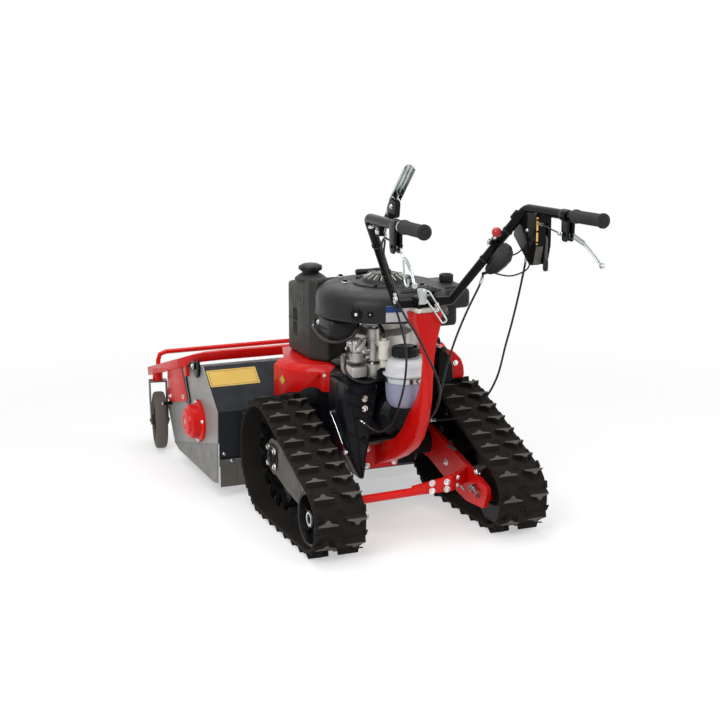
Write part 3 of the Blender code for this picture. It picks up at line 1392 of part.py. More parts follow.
def make_hand_lever(name, side, droop):
    """Flat bright lever under a grip, curved down and back."""
    x = side * LEVER_X
    y = LEVER_BRACKET_Y - 0.006
    z = LEVER_PIVOT_Z
    center = [(0.0, 0.0), (-0.036, -0.001), (-0.090, -0.012), (-0.128, -0.028), (-0.178, -0.055)]
    turn = math.radians(droop)
    placed = []
    for along, up in center:
        placed.append((y + along * math.cos(turn) - up * math.sin(turn),
            z + along * math.sin(turn) + up * math.cos(turn)))
    path = rounded(placed, 0.05, 1)
    upper = []
    lower = []
    for index, (along, up) in enumerate(path):
        before = Vector(path[max(index - 1, 0)])
        after = Vector(path[min(index + 1, len(path) - 1)])
        normal = (after - before).normalized().orthogonal()
        half = 0.0075 - 0.003 * index / len(path)
        upper.append((along + normal.x * half, up + normal.y * half))
        lower.append((along - normal.x * half, up - normal.y * half))
    lever = plate(name, upper + list(reversed(lower)), x - 0.0035, x + 0.0035, STEEL)
    tip = path[-1]
    ball = rod("tip", (x - 0.006, *tip), (x + 0.006, *tip), 0.008, STEEL, 8)
    fuse(lever, ball)
    hang(pivot(name + "_axis", (x, y, z)), lever)
    return lever


CLUTCH_PIVOT = (-0.213, -0.604, 0.962)
CLUTCH_HALF = 0.002


def make_clutch_lever():
    """Long zinc-plated lever with a half-round handle above the left grip."""
    x, y, z = CLUTCH_PIVOT
    arm = plate(
        "clutch_lever", arc((y, z), 0.013, 38, -142, 5) + [(-0.702, 1.068), (-0.686, 1.080)],
        x - CLUTCH_HALF, x + CLUTCH_HALF, ZINC)
    handle = half_round("handle", (x, -0.678, 1.050), (x, -0.772, 1.142), 0.0170, ZINC)
    fuse(arm, handle)
    cut(arm, rod("pin_hole", (x - 0.02, y, z), (x + 0.02, y, z), 0.0055, ZINC, 8))
    hang(pivot("clutch_lever_axis", CLUTCH_PIVOT), arm)
    return arm


def half_round(name, start, end, radius, paint):
    """Half-round pressed handle, open on its underside."""
    start = Vector(start)
    end = Vector(end)
    length = (end - start).length
    outer = arc((0, 0), radius, 0, 180, 6)
    inner = arc((0, 0), radius - 0.003, 180, 0, 6)
    item = plate(name, outer + inner, 0, length, paint, axis="Z")
    along = (end - start).normalized()
    side = Vector((1, 0, 0))
    up = along.cross(side)
    if up.z < 0:
        side = -side
        up = along.cross(side)
    turn = Matrix((side, up, side.cross(up))).transposed()
    item.rotation_euler = turn.to_euler()
    item.location = (start + end) / 2
    return item


SHIFT_X = 0.262
SHIFT_PIVOT = (SHIFT_X, -0.566, 0.923)


def make_shift_gate():
    """Black sheet box under the right bend with the slot of the shift lever."""
    outline = [
        (-0.505, 0.905), (-0.540, 0.962), (-0.560, 0.9765), (-0.620, 0.9765), (-0.612, 0.880),
        (-0.596, 0.836),
        (-0.575, 0.836)]
    gate = plate("shift_gate", outline, 0.228, 0.276, BLACK)
    slot = box("gate_slot", (SHIFT_X - 0.0033, -0.640, 0.852), (SHIFT_X + 0.0033, -0.545, 0.960), BLACK)
    half = bar_path()
    groove = pipe("tube_groove", half[len(half) // 2:], HANDLE_TUBE_RADIUS + GAP, BLACK, 2)
    return cut(gate, slot, groove)


def make_shift_lever():
    """Bright bent bar with a black tip, working in the gate."""
    x = SHIFT_X
    bar = plate(
        "shift_lever", [(-0.560, 0.916), (-0.560, 0.930), (-0.628, 0.926), (-0.636, 0.918), (-0.636, 0.850),
                        (-0.625, 0.850), (-0.625, 0.912)],
        x - 0.003, x + 0.003, STEEL)
    tip = rod("tip", (x, -0.6305, 0.862), (x, -0.6305, 0.826), 0.0075, BLACK, 8)
    fuse(bar, tip)
    hang(pivot("shift_lever_axis", SHIFT_PIVOT), bar)
    return bar


THROTTLE_X = 0.163
THROTTLE_PIVOT = (THROTTLE_X + 0.013 + GAP, -0.500, 0.846)
KNOB_PIVOT = (0.150, -0.505, 0.895)


def make_throttle_lever():
    """Short lever on the outer face of the throttle housing."""
    x, y, z = THROTTLE_PIVOT
    outline = arc((y, z), 0.012, -60, 120, 5) + [(y - 0.040, z + 0.014), (y - 0.042, z + 0.004)]
    lever = plate("throttle_lever", outline, x, x + 0.004, BLACK_PLASTIC)
    tab = box("tab", (x + 0.001, y - 0.046, z + 0.003), (x + 0.016, y - 0.038, z + 0.016), BLACK_PLASTIC)
    fuse(lever, tab)
    hang(pivot("throttle_lever_axis", THROTTLE_PIVOT), lever)
    return lever


def make_knob_lever():
    """Bright rod with a red ball above the right tube."""
    x, y, z = KNOB_PIVOT
    shank = rod("knob_lever", (x, y + 0.006, z - 0.006), (x, y - 0.040, z + 0.030), 0.003, STEEL, 6)
    work = bmesh.new()
    bmesh.ops.create_uvsphere(work, u_segments=8, v_segments=6, radius=0.014)
    ball = from_bmesh("ball", work, RED)
    ball.location = (x, y - 0.046, z + 0.035)
    fuse(shank, ball)
    hang(pivot("knob_lever_axis", KNOB_PIVOT), shank)
    return shank


def make_cable(name, points):
    return as_mesh(pipe(name, route(points, CABLE_STEP), CABLE_RADIUS, CABLE_JACKET, 1))


CABLE_RADIUS = 0.0032
CABLE_STEP = 0.052
CABLES = {
    "shift_cable": (
        (0.250, -0.5860, 0.8355), (0.250, -0.580, 0.800), (0.256, -0.500, 0.700), (0.262, -0.420, 0.580),
        (0.264, -0.350, 0.460), (0.246, -0.300, 0.380), (0.205, -0.250, 0.322), (0.150, -0.152, 0.291),
        (0.1187, -0.1465, 0.290)),
    "throttle_cable": (
        (0.163, -0.4500, 0.7990), (0.158, -0.440, 0.765), (0.118, -0.440, 0.690), (0.082, -0.440, 0.610),
        (0.058, -0.435, 0.530), (0.046, -0.420, 0.450), (0.044, -0.370, 0.370), (0.046, -0.280, 0.326),
        (0.046, -0.2385, 0.322)),
    "clutch_cable": (
        (-0.1117, -0.4482, 0.7654), (-0.104, -0.436, 0.720), (-0.080, -0.420, 0.660),
        (-0.058, -0.410, 0.580),
        (-0.056, -0.400, 0.500), (-0.064, -0.385, 0.430), (-0.066, -0.330, 0.350), (-0.092, -0.290, 0.316),
        (-0.122, -0.246, 0.336), (-0.124, -0.2156, 0.340)),
    "steering_cable": (
        (-0.1193, -0.4559, 0.7792), (-0.112, -0.464, 0.742), (-0.086, -0.472, 0.690),
        (-0.052, -0.475, 0.636),
        (-0.022, -0.478, 0.576), (0.006, -0.474, 0.520), (0.024, -0.464, 0.470), (0.026, -0.440, 0.410),
        (0.028, -0.360, 0.350), (0.029, -0.280, 0.322), (0.029, -0.2385, 0.318)),
}


def build_mower():
    make_transmission_case()
    make_column()
    make_column_clamp()
    make_lock_lever()
    make_tie_bar()
    for word, side in (("left", -1), ("right", 1)):
        make_arm(word + "_idler_arm", side)
        make_track_plate(word + "_track_plate", side)
        make_sprocket(word + "_sprocket", side)
        make_idler(word + "_idler", side)
        make_track(word + "_track", side * TRACK_X)
        make_side_plate(word + "_side_plate", side)
        make_caster(word + "_caster", side)
        make_grip(word + "_grip", side)
    make_hand_lever("left_hand_lever", -1, 9.0)
    make_hand_lever("right_hand_lever", 1, 0.0)
    make_left_fender()
    make_right_fender()
    make_deck_shell()
    make_rear_flap()
    make_front_flap()
    make_bearing_cover()
    make_drive_cover()
    make_rotor()
    for row in range(HAMMER_ROWS):
        make_hammer_row(row)
    make_front_frame()
    make_crankcase()
    make_blower_shroud()
    make_recoil_cover()
    make_starter_grip()
    make_air_cleaner()
    make_carburettor()
    make_muffler()
    make_fuel_tank()
    make_fuel_cap()
    make_oil_cap()
    make_bottle()
    make_bottle_cap()
    make_handlebar()
    make_clutch_lever()
    make_shift_gate()
    make_shift_lever()
    make_throttle_lever()
    make_knob_lever()
    for name, points in CABLES.items():
        make_cable(name, points)


build_mower()

ROOT = bpy.data.objects.new("mower_root", None)
ROOT.location = (-ORIGIN_X, -ORIGIN_Y, 0.0)
PARTS.objects.link(ROOT)
for piece in list(bpy.data.objects):
    if piece.parent is None and piece is not ROOT:
        piece.parent = ROOT
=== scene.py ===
from math import asin, atan2, cos, degrees, pi as PI, radians, sin, tan

import bpy
from mathutils import Matrix, Vector


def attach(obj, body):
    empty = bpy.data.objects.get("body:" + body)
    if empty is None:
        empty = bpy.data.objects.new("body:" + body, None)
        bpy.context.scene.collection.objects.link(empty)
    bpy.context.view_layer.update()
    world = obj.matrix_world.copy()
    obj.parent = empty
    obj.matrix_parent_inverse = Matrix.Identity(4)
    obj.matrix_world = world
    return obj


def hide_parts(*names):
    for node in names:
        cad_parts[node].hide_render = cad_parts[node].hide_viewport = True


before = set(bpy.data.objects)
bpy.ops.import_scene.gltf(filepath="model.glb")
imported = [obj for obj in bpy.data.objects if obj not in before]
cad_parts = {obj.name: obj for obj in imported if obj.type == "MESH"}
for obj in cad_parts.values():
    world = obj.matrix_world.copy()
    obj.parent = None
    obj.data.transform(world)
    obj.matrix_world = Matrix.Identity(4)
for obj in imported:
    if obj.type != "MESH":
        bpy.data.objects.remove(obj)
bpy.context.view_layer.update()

moved = Matrix.Translation

# All pieces are laid out from the ground point under the drive axle, and the finished piece then moves by
# this much to where the machine stands.
AXLE_SHIFT = Vector((0.0, .002112, 0.0))
SIDES = ("left", -1), ("right", 1)


# ---------------- camera, light and floor

def set_camera():
    data = bpy.data.cameras.new("camera")
    data.lens = 81.5
    data.sensor_width = 36.0
    camera = onto_bench("camera", data)
    camera.location = (-1.905, -4.5279, 1.617)
    look = Vector((.3722, .8994, -.229))
    camera.rotation_euler = look.to_track_quat("-Z", "Y").to_euler()
    bpy.context.scene.camera = camera


def soft_box(name, place, aim, size, power):
    data = bpy.data.lights.new(name, "AREA")
    data.shape = "RECTANGLE"
    data.size, data.size_y = size
    data.energy = power
    lamp = onto_bench(name, data)
    lamp.location = place
    lamp.rotation_euler = (Vector(aim) - Vector(place)).to_track_quat("-Z", "Y").to_euler()


def set_studio():
    """White room light, soft boxes and a pale floor that fades into the room."""
    world = bpy.data.worlds.new("room")
    bpy.context.scene.world = world
    world.use_nodes = True
    tree = world.node_tree
    white = (1.0, 1.0, 1.0, 1.0)
    back = tree.nodes["Background"]
    back.inputs["Color"].default_value = white
    back.inputs["Strength"].default_value = .28
    bright = put(tree, "ShaderNodeBackground", Color=white, Strength=1.0)
    path = tree.nodes.new("ShaderNodeLightPath")
    seen = path.outputs["Is Camera Ray"]
    for word in ("Is Glossy Ray", "Is Transmission Ray"):
        seen = times(tree, seen, path.outputs[word], "MAXIMUM")
    room = blended(tree, seen, back.outputs[0], bright.outputs[0])
    tree.links.new(room, tree.nodes["World Output"].inputs["Surface"])
    for name, place, aim, size, power in (
            ("key", (-2.6, -2.6, 2.9), (0, -.1, .4), (2.2, 1.8), 68),
            ("strip", (-2.1, -1.2, 2.2), (0, -.2, .5), (.14, 2.0), 12),
            ("edge", (1.5, -2.6, 1.9), (.1, -.3, .5), (.1, 2.0), 7),
            ("fill", (2.9, -1.6, 1.9), (0, 0, .5), (2.0, 2.0), 33),
            ("top", (-.2, .5, 3.4), (0, 0, .3), (2.6, 2.6), 57)):
        soft_box(name, place, aim, size, power)

    bpy.ops.object.select_all(action="DESELECT")
    bpy.ops.mesh.primitive_plane_add(size=24, location=(0, 0, -.0006))
    floor = bpy.context.object
    floor.name = "floor"
    ground, tree, shader, place = start("floor", shine=.1)
    shader.inputs["Roughness"].default_value = .9
    shader.inputs["Emission Color"].default_value = white
    shader.inputs["Emission Strength"].default_value = .47
    cloud = put(tree, "ShaderNodeTexNoise", place, Scale=3.0)
    tone = spread(tree, cloud.outputs["Fac"], 0.0, 1.0, .585, .6)
    feed(tree, tone, shader, "Base Color")
    far = tree.nodes.new("ShaderNodeVectorMath")
    far.operation = "LENGTH"
    tree.links.new(place, far.inputs[0])
    fade = put(tree, "ShaderNodeMapRange", From_Min=1.1, From_Max=2.6)
    fade.interpolation_type = "SMOOTHSTEP"
    tree.links.new(far.outputs["Value"], fade.inputs["Value"])
    clear = tree.nodes.new("ShaderNodeBsdfTransparent")
    shown = blended(tree, fade.outputs[0], shader.outputs[0], clear.outputs[0])
    tree.links.new(shown, tree.nodes["Material Output"].inputs["Surface"])
    floor.data.materials.append(ground)
    bpy.context.scene.view_settings.view_transform = "Standard"


# ---------------- finishes

def put(tree, kind, place=None, **values):
    """Adds a node; values are its inputs, with _ for a space."""
    made = tree.nodes.new(kind)
    for word, value in values.items():
        made.inputs[word.replace("_", " ")].default_value = value
    if place is not None:
        tree.links.new(place, made.inputs["Vector"])
    return made


def feed(tree, source, shader, socket):
    tree.links.new(source, shader.inputs[socket])


def noise(tree, place, scale, detail, rough=.5):
    return put(tree, "ShaderNodeTexNoise", place, Scale=scale, Detail=detail,
        Roughness=rough).outputs["Fac"]


def spread(tree, source, low, high, to_low=0.0, to_high=1.0):
    """Stretches a value from one range to another."""
    made = put(tree, "ShaderNodeMapRange", From_Min=low, From_Max=high, To_Min=to_low, To_Max=to_high)
    tree.links.new(source, made.inputs["Value"])
    return made.outputs[0]


def times(tree, first, second, how="MULTIPLY"):
    made = tree.nodes.new("ShaderNodeMath")
    made.operation = how
    for socket, value in zip(made.inputs, (first, second)):
        if isinstance(value, float):
            socket.default_value = value
        else:
            tree.links.new(value, socket)
    return made.outputs[0]


def tint(tree, share, first, second):
    """Mixes two colours by a share; each is a colour or another node's output."""
    made = tree.nodes.new("ShaderNodeMix")
    made.data_type = "RGBA"
    tree.links.new(share, made.inputs[0])
    for socket, value in zip((made.inputs[6], made.inputs[7]), (first, second)):
        if isinstance(value, tuple):
            socket.default_value = (*value, 1.0)
        else:
            tree.links.new(value, socket)
    return made.outputs[2]


def blended(tree, share, first, second):
    """Mixes two finished surfaces by a share."""
    made = tree.nodes.new("ShaderNodeMixShader")
    for socket, value in zip(made.inputs, (share, first, second)):
        tree.links.new(value, socket)
    return made.outputs[0]


def start(name, metal=0.0, coat=0.0, shine=.5):
    made = bpy.data.materials.new(name)
    made.use_nodes = True
    tree = made.node_tree
    shader = tree.nodes["Principled BSDF"]
    shader.inputs["Metallic"].default_value = metal
    shader.inputs["Coat Weight"].default_value = coat
    shader.inputs["Coat Roughness"].default_value = .12
    shader.inputs["Specular IOR Level"].default_value = shine
    place = tree.nodes.new("ShaderNodeTexCoord").outputs["Object"]
    return made, tree, shader, place


def worn_edges(tree, place, amount):
    """Share of bare edge: where a softened corner turns away from its face, broken up by noise."""
    soft = put(tree, "ShaderNodeBevel", Radius=.0013)
    soft.samples = 4
    lean = tree.nodes.new("ShaderNodeVectorMath")
    lean.operation = "DOT_PRODUCT"
    tree.links.new(soft.outputs[0], lean.inputs[0])
    tree.links.new(tree.nodes.new("ShaderNodeNewGeometry").outputs["Normal"], lean.inputs[1])
    crisp = spread(tree, lean.outputs["Value"], .99, .88)
    spots = noise(tree, place, 55.0, 5.0)
    return times(tree, times(tree, crisp, spread(tree, spots, .42, .66)), amount)


def ground_dust(tree, place, amount, top=.34):
    """Share of dry dust, most near the ground and in soft patches."""
    apart = tree.nodes.new("ShaderNodeSeparateXYZ")
    tree.links.new(place, apart.inputs[0])
    low = spread(tree, apart.outputs["Z"], top, 0.0)
    patch = noise(tree, place, 14.0, 8.0, .68)
    return times(tree, times(tree, low, spread(tree, patch, .35, .72)), amount)


def relief(tree, shader, height, depth, strength):
    bump = put(tree, "ShaderNodeBump", Strength=strength, Distance=depth)
    tree.links.new(height, bump.inputs["Height"])
    tree.links.new(bump.outputs[0], shader.inputs["Normal"])


def enamel(name, colour, deep, bare, rough=.28, coat=.35, dust=.07, wear=.3, peel=.05, shine=.5):
    """Baked paint on sheet steel: soft colour drift, orange peel, bare edges and some dust."""
    made, tree, shader, place = start(name, coat=coat, shine=shine)
    drift = noise(tree, place, 5.0, 3.0)
    base = tint(tree, spread(tree, drift, .3, .72), colour, deep)
    base = tint(tree, worn_edges(tree, place, wear), base, bare)
    dirt = ground_dust(tree, place, dust)
    base = tint(tree, dirt, base, (.22, .19, .15))
    feed(tree, base, shader, "Base Color")
    fine = noise(tree, place, 420.0, 2.0)
    smear = noise(tree, place, 22.0, 6.0)
    gloss = spread(tree, smear, .3, .7, rough * .8, rough * 1.35)
    feed(tree, times(tree, gloss, times(tree, dirt, .5), "ADD"), shader, "Roughness")
    relief(tree, shader, fine, .0004, peel * 4)
    return made


def casting(name, colour, dark, metal=.85, rough=.48, scale=260.0):
    """Sand or die casting: a grainy skin, painted shade darkening its hollows and random grimy patches."""
    made, tree, shader, place = start(name, metal=metal)
    grain = noise(tree, place, scale, 6.0, .65)
    pits = put(tree, "ShaderNodeTexVoronoi", place, Scale=scale * .8).outputs["Distance"]
    hollow_shade = put(tree, "ShaderNodeAmbientOcclusion", Distance=.016)
    hollow_shade.samples = 4
    grime = noise(tree, place, 16.0, 6.0)
    # Painted shade: the occlusion mask darkens the colour in the hollows; the grime noise adds random grimy
    # patches on top.
    share = spread(tree, hollow_shade.outputs["AO"], .9, .35, 0.0, .75)
    share = times(tree, share, spread(tree, grime, .38, .68, 0.0, .45), "ADD")
    base = tint(tree, share, colour, dark)
    feed(tree, base, shader, "Base Color")
    feed(tree, spread(tree, grime, .3, .7, rough * .8, rough * 1.3), shader, "Roughness")
    relief(tree, shader, times(tree, grain, pits, "ADD"), .0006, .35)
    return made


def plated(name, colour, tarnish, rough=.26, scale=(30.0, 30.0, 420.0)):
    """Bright or zinc-plated steel with fine drawn lines and dull spots."""
    made, tree, shader, place = start(name, metal=1.0)
    turn = tree.nodes.new("ShaderNodeMapping")
    turn.inputs["Scale"].default_value = scale
    tree.links.new(place, turn.inputs["Vector"])
    drawn = put(tree, "ShaderNodeTexNoise", turn.outputs[0], Scale=1.0, Detail=2.0).outputs["Fac"]
    spots = noise(tree, place, 34.0, 2.0, .45)
    base = tint(tree, spread(tree, spots, .46, .74), colour, tarnish)
    feed(tree, base, shader, "Base Color")
    gloss = spread(tree, spots, .3, .75, rough * .8, rough * 1.3)
    feed(tree, times(tree, gloss, spread(tree, drawn, .3, .7, -.03, .05), "ADD"), shader, "Roughness")
    relief(tree, shader, drawn, .00004, .02)
    return made


def rubber(name, colour, pale, dust, rough=.78, grain=520.0, dust_top=.5, powder=.18, shine=.3):
    """Moulded rubber: matt, slightly blotched, with dust in its grain."""
    made, tree, shader, place = start(name, shine=shine)
    blot = noise(tree, place, 9.0, 6.0, .6)
    base = tint(tree, spread(tree, blot, .35, .7), colour, pale)
    base = tint(tree, worn_edges(tree, place, .45), base, dust)
    dirt = ground_dust(tree, place, powder, dust_top)
    base = tint(tree, dirt, base, dust)
    feed(tree, base, shader, "Base Color")
    feed(tree, spread(tree, blot, .3, .7, rough * .9, min(rough * 1.15, .98)), shader, "Roughness")
    fine = noise(tree, place, grain, 3.0)
    relief(tree, shader, fine, .0005, .3)
    return made


def moulded(name, colour, pale, rough=.42, grain=900.0, skin=.22, wear=.25, coat=0.0, shine=.3):
    """Injection-moulded plastic with a fine spark-eroded skin and rubbed corners."""
    made, tree, shader, place = start(name, coat=coat, shine=shine)
    cloud = noise(tree, place, 7.0, 4.0)
    base = tint(tree, spread(tree, cloud, .36, .68), colour, pale)
    base = tint(tree, worn_edges(tree, place, wear), base, tuple(min(1.0, c * 3 + .03) for c in pale))
    base = tint(tree, ground_dust(tree, place, .08), base, (.2, .18, .15))
    feed(tree, base, shader, "Base Color")
    handled = noise(tree, place, 26.0, 5.0)
    feed(tree, spread(tree, handled, .3, .72, rough * .82, rough * 1.25), shader, "Roughness")
    skin_cells = put(tree, "ShaderNodeTexVoronoi", place, Scale=grain).outputs["Distance"]
    relief(tree, shader, skin_cells, .00025, skin)
    return made


RED = enamel("red_enamel", (.7, .007, .004), (.58, .004, .003), (.62, .08, .05), .3, .04, dust=.03,
    shine=.22)
BLACK = enamel("black_enamel", (.0065, .0065, .0072), (.0035, .0035, .004), (.07, .07, .07), .15, 0.0,
    dust=.02, shine=.09)
GEAR_BLACK = enamel("gearcase_enamel", (.0062, .0078, .0115), (.003, .0035, .0055), (.06, .06, .075), .3,
    0.0, dust=.05, peel=.12, shine=.16)
CHARCOAL = enamel("charcoal_enamel", (.0135, .015, .019), (.0095, .0105, .0135), (.09, .1, .12), .42, 0.0,
    dust=.02, shine=.12)
GREY = enamel("deck_grey_enamel", (.262, .26, .25), (.225, .224, .215), (.5, .5, .48), .4, .1, dust=.08)
# Painted shade: a darker copy of the deck grey for the lower part of each side, where shade and a dark
# reflection of the ground fall.
GREY_PAINTED_SHADE = enamel("deck_grey_painted_shade", (.158, .157, .146), (.135, .134, .124), (.36, .36, .34), .42, .05,
    dust=.1)
PLATE_GREY = enamel("track_plate_enamel", (.085, .074, .063), (.06, .053, .046), (.3, .27, .23), .5, 0.0,
    dust=.25)
YELLOW = enamel("blank_yellow_plate", (.68, .41, .014), (.62, .36, .012), (.92, .74, .3), .36, .1, dust=.1)
CREAM = enamel("cream_enamel", (.74, .71, .62), (.62, .6, .52), (.85, .84, .8), .36, .2)
ALUMINIUM = casting("die_cast_aluminium", (.55, .54, .51), (.12, .11, .1))
STEEL = plated("bright_steel_bar", (.58, .59, .6), (.3, .29, .28), .18, (24.0, 24.0, 160.0))
ZINC = plated("zinc_plating", (.47, .51, .51), (.32, .35, .35), .17, (60.0, 60.0, 22.0))
BOLT = plated("bolt_plating", (.8, .8, .79), (.5, .48, .42), .22, (200.0, 200.0, 200.0))
AMBER = plated("yellow_passivated", (.72, .46, .12), (.4, .22, .05), .3)
TRACK_RUBBER = rubber("track_rubber", (.0085, .0072, .0062), (.015, .0125, .0105), (.07, .058, .047),
    powder=.14, shine=.12)
LUG_TOP = rubber("rubbed_lug_top", (.058, .054, .048), (.105, .097, .086), (.15, .14, .12), powder=.5,
    dust_top=.9)
WHEEL_RUBBER = rubber("wheel_rubber", (.085, .074, .066), (.115, .1, .09), (.2, .175, .15))
FLAP_RUBBER = rubber("flap_rubber", (.08, .08, .076), (.11, .11, .105), (.21, .19, .16))
GRIP_RUBBER = rubber("grip_rubber", (.026, .025, .025), (.044, .043, .042), (.11, .11, .11), .58, 700.0,
    shine=.12)
JACKET = moulded("cable_jacket", (.0085, .0085, .009), (.015, .015, .016), .3, 1500.0, .1, shine=.25)
PLASTIC = moulded("black_moulding", (.0115, .0115, .0115), (.0185, .0185, .0185), .4, shine=.22)
GLOSS_PLASTIC = moulded("glossy_moulding", (.006, .006, .0065), (.011, .011, .0115), .16, 1200.0, .04,
    coat=0.0, shine=.14)
TANK_PLASTIC = moulded("tank_moulding", (.025, .026, .023), (.036, .037, .033), .5, 520.0, .35, shine=.22)
RED_PLASTIC = moulded("red_ball", (.6, .018, .016), (.5, .012, .012), .25, 900.0, .05, coat=.4)
LABEL = moulded("blank_label", (.56, .56, .57), (.48, .48, .5), .34, 900.0, .05)
LABEL_DARK = moulded("plate_border", (.05, .05, .05), (.08, .08, .08), .4, 900.0, .05)
LABEL_BLUE = moulded("blank_label_band", (.012, .05, .19), (.01, .04, .15), .34, 900.0, .05)


def oil_bottle_plastic():
    """Translucent white plastic; the oil inside tints the lower half."""
    made, tree, shader, place = start("oil_bottle_plastic")
    shader.inputs["Subsurface Weight"].default_value = .25
    shader.inputs["Subsurface Radius"].default_value = (.01, .009, .012)
    apart = tree.nodes.new("ShaderNodeSeparateXYZ")
    tree.links.new(place, apart.inputs[0])
    wave = noise(tree, place, 30.0, 2.0)
    level = times(tree, apart.outputs["Z"], spread(tree, wave, .3, .7, -.0015, .0015), "ADD")
    base = tint(tree, spread(tree, level, .466, .486), (.3, .3, .42), (.64, .65, .67))
    scuff = noise(tree, place, 70.0, 8.0, .7)
    base = tint(tree, spread(tree, scuff, .55, .85, 0.0, .5), base, (.42, .41, .44))
    feed(tree, base, shader, "Base Color")
    feed(tree, spread(tree, scuff, .3, .7, .26, .42), shader, "Roughness")
    relief(tree, shader, scuff, .0004, .25)
    return made


BOTTLE = oil_bottle_plastic()

SLOT_FINISH = {
    "red_paint": RED, "black_paint": BLACK, "charcoal_paint": CHARCOAL, "grey_paint": GREY,
    "cast_aluminium": ALUMINIUM, "bright_steel": STEEL, "zinc_plate": ZINC, "track_rubber": TRACK_RUBBER,
    "wheel_rubber": WHEEL_RUBBER, "grip_rubber": GRIP_RUBBER, "cable_jacket": JACKET,
    "black_plastic": PLASTIC, "tank_plastic": TANK_PLASTIC, "bottle_plastic": BOTTLE,
    "cream_plate": CREAM,
}


def finish_cad_nodes():
    """Gives every CAD node its procedural finish, also those that a finer piece stands for."""
    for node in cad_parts.values():
        for holder in node.material_slots:
            word = holder.material.name.split(".")[0] if holder.material else ""
            holder.material = SLOT_FINISH.get(word, BLACK)


# ---------------- hand tools

def clear_hand():
    """Leaves edit mode with nothing selected."""
    if bpy.context.mode != "OBJECT":
        mode("OBJECT")
    bpy.ops.object.select_all(action="DESELECT")


def take(*items):
    """Selects these pieces only, the first one active."""
    clear_hand()
    for item in items:
        item.select_set(True)
    bpy.context.view_layer.objects.active = items[0]


def settle(item):
    """Puts a piece's place, turn and size into its mesh."""
    take(item)
    bpy.ops.object.transform_apply(location=True, rotation=True, scale=True)
    return item


def mode(word):
    bpy.ops.object.mode_set(mode=word)


def onto_bench(name, data):
    """A new object in the scene."""
    item = bpy.data.objects.new(name, data)
    bpy.context.scene.collection.objects.link(item)
    return item


def apply_changes(item):
    take(item)
    for word in [change.name for change in item.modifiers]:
        bpy.ops.object.modifier_apply(modifier=word)
    return item


def in_edit(item):
    take(item)
    mode("EDIT")
    bpy.ops.mesh.select_all(action="SELECT")


def merge_flat(item, angle=.01):
    """Merges faces that lie in one plane."""
    in_edit(item)
    bpy.ops.mesh.dissolve_limited(angle_limit=angle)
    mode("OBJECT")
    return item


def pick_faces(item, test):
    """Opens a piece for edit with only the faces selected that pass the test."""
    in_edit(item)
    bpy.ops.mesh.select_all(action="DESELECT")
    mode("OBJECT")
    for face in item.data.polygons:
        face.select = test(face)
    mode("EDIT")


def clean(item, gap=.00003):
    """Merges doubles and turns all faces outwards."""
    in_edit(item)
    bpy.ops.mesh.remove_doubles(threshold=gap)
    bpy.ops.mesh.normals_make_consistent(inside=False)
    mode("OBJECT")
    return item


def round_edges(item, width, steps=2, angle=32.0, full=False):
    """Rounds sharp edges; full keeps the width where short edges would narrow it."""
    change = item.modifiers.new("rounding", "BEVEL")
    change.use_clamp_overlap = not full
    change.width = width
    change.segments = steps
    change.limit_method = "ANGLE"
    change.angle_limit = radians(angle)
    return apply_changes(item)


def carve(item, *tools):
    """Cuts tool shapes out of a piece."""
    for tool in tools:
        change = item.modifiers.new("cut", "BOOLEAN")
        change.operation = "DIFFERENCE"
        change.solver = "EXACT"
        change.object = tool
        apply_changes(item)
        bpy.data.objects.remove(tool, do_unlink=True)
    return item


def together(*items):
    """Joins pieces; each keeps its own finish."""
    items = [item for item in items if item is not None]
    take(*items)
    bpy.ops.object.join()
    return bpy.context.object


def copied(item, place):
    """A copy with its own mesh, moved by a matrix."""
    made = item.copy()
    made.data = item.data.copy()
    bpy.context.scene.collection.objects.link(made)
    made.data.transform(place)
    return made


def drop(*items):
    for item in items:
        bpy.data.objects.remove(item, do_unlink=True)


def painted(item, finish):
    item.data.materials.clear()
    item.data.materials.append(finish)
    return item


def block(low, high, finish, edge=0.0, steps=2):
    """A rectangular piece between two corners, its edges rounded in edit mode."""
    clear_hand()
    bpy.ops.mesh.primitive_cube_add(size=1, location=[(a + b) / 2 for a, b in zip(low, high)])
    item = bpy.context.object
    item.scale = [b - a for a, b in zip(low, high)]
    settle(item)
    if edge:
        in_edit(item)
        bpy.ops.mesh.bevel(offset=edge, offset_pct=0, segments=steps, affect="EDGES", clamp_overlap=True)
        mode("OBJECT")
    return painted(item, finish)


def rod(first, last, radius, finish, sides=24, edge=0.0, far=None):
    """A round bar or cone between two points, its end rims rounded."""
    first = Vector(first)
    last = Vector(last)
    clear_hand()
    bpy.ops.mesh.primitive_cone_add(vertices=sides, radius1=radius, radius2=radius if far is None else far,
        depth=(last - first).length, location=(first + last) / 2, rotation=(last - first).to_track_quat("Z",
        "Y").to_euler())
    item = settle(bpy.context.object)
    if edge:
        round_edges(item, edge, 2, 50)
    return painted(item, finish)


TURNS = {
    "Z": Matrix.Identity(4),
    "X": Matrix.Rotation(PI / 2, 4, "Y"),
    "-X": Matrix.Rotation(-PI / 2, 4, "Y"),
    "Y": Matrix.Rotation(-PI / 2, 4, "X"),
    "-Y": Matrix.Rotation(PI / 2, 4, "X"),
}


def turned(profile, finish, at=(0, 0, 0), axis="Z", sides=40, ring=False):
    """A lathe piece: a circle extruded and resized from rim to rim of (radius, height)."""
    clear_hand()
    stops = [(max(radius, .00001), height) for radius, height in profile]
    if ring:
        stops.append(stops[0])
    wide, up = stops[0]
    bpy.ops.mesh.primitive_circle_add(vertices=sides, radius=wide, location=(0, 0, up))
    item = settle(bpy.context.object)
    in_edit(item)
    for radius, height in stops[1:]:
        bpy.ops.mesh.extrude_region_move(TRANSFORM_OT_translate={"value": (0, 0, height - up)})
        scale = radius / wide
        bpy.ops.transform.resize(value=(scale, scale, 1), center_override=(0, 0, height))
        wide, up = radius, height
    mode("OBJECT")
    clean(item)
    item.data.transform(moved(at) @ TURNS[axis])
    return painted(item, finish)


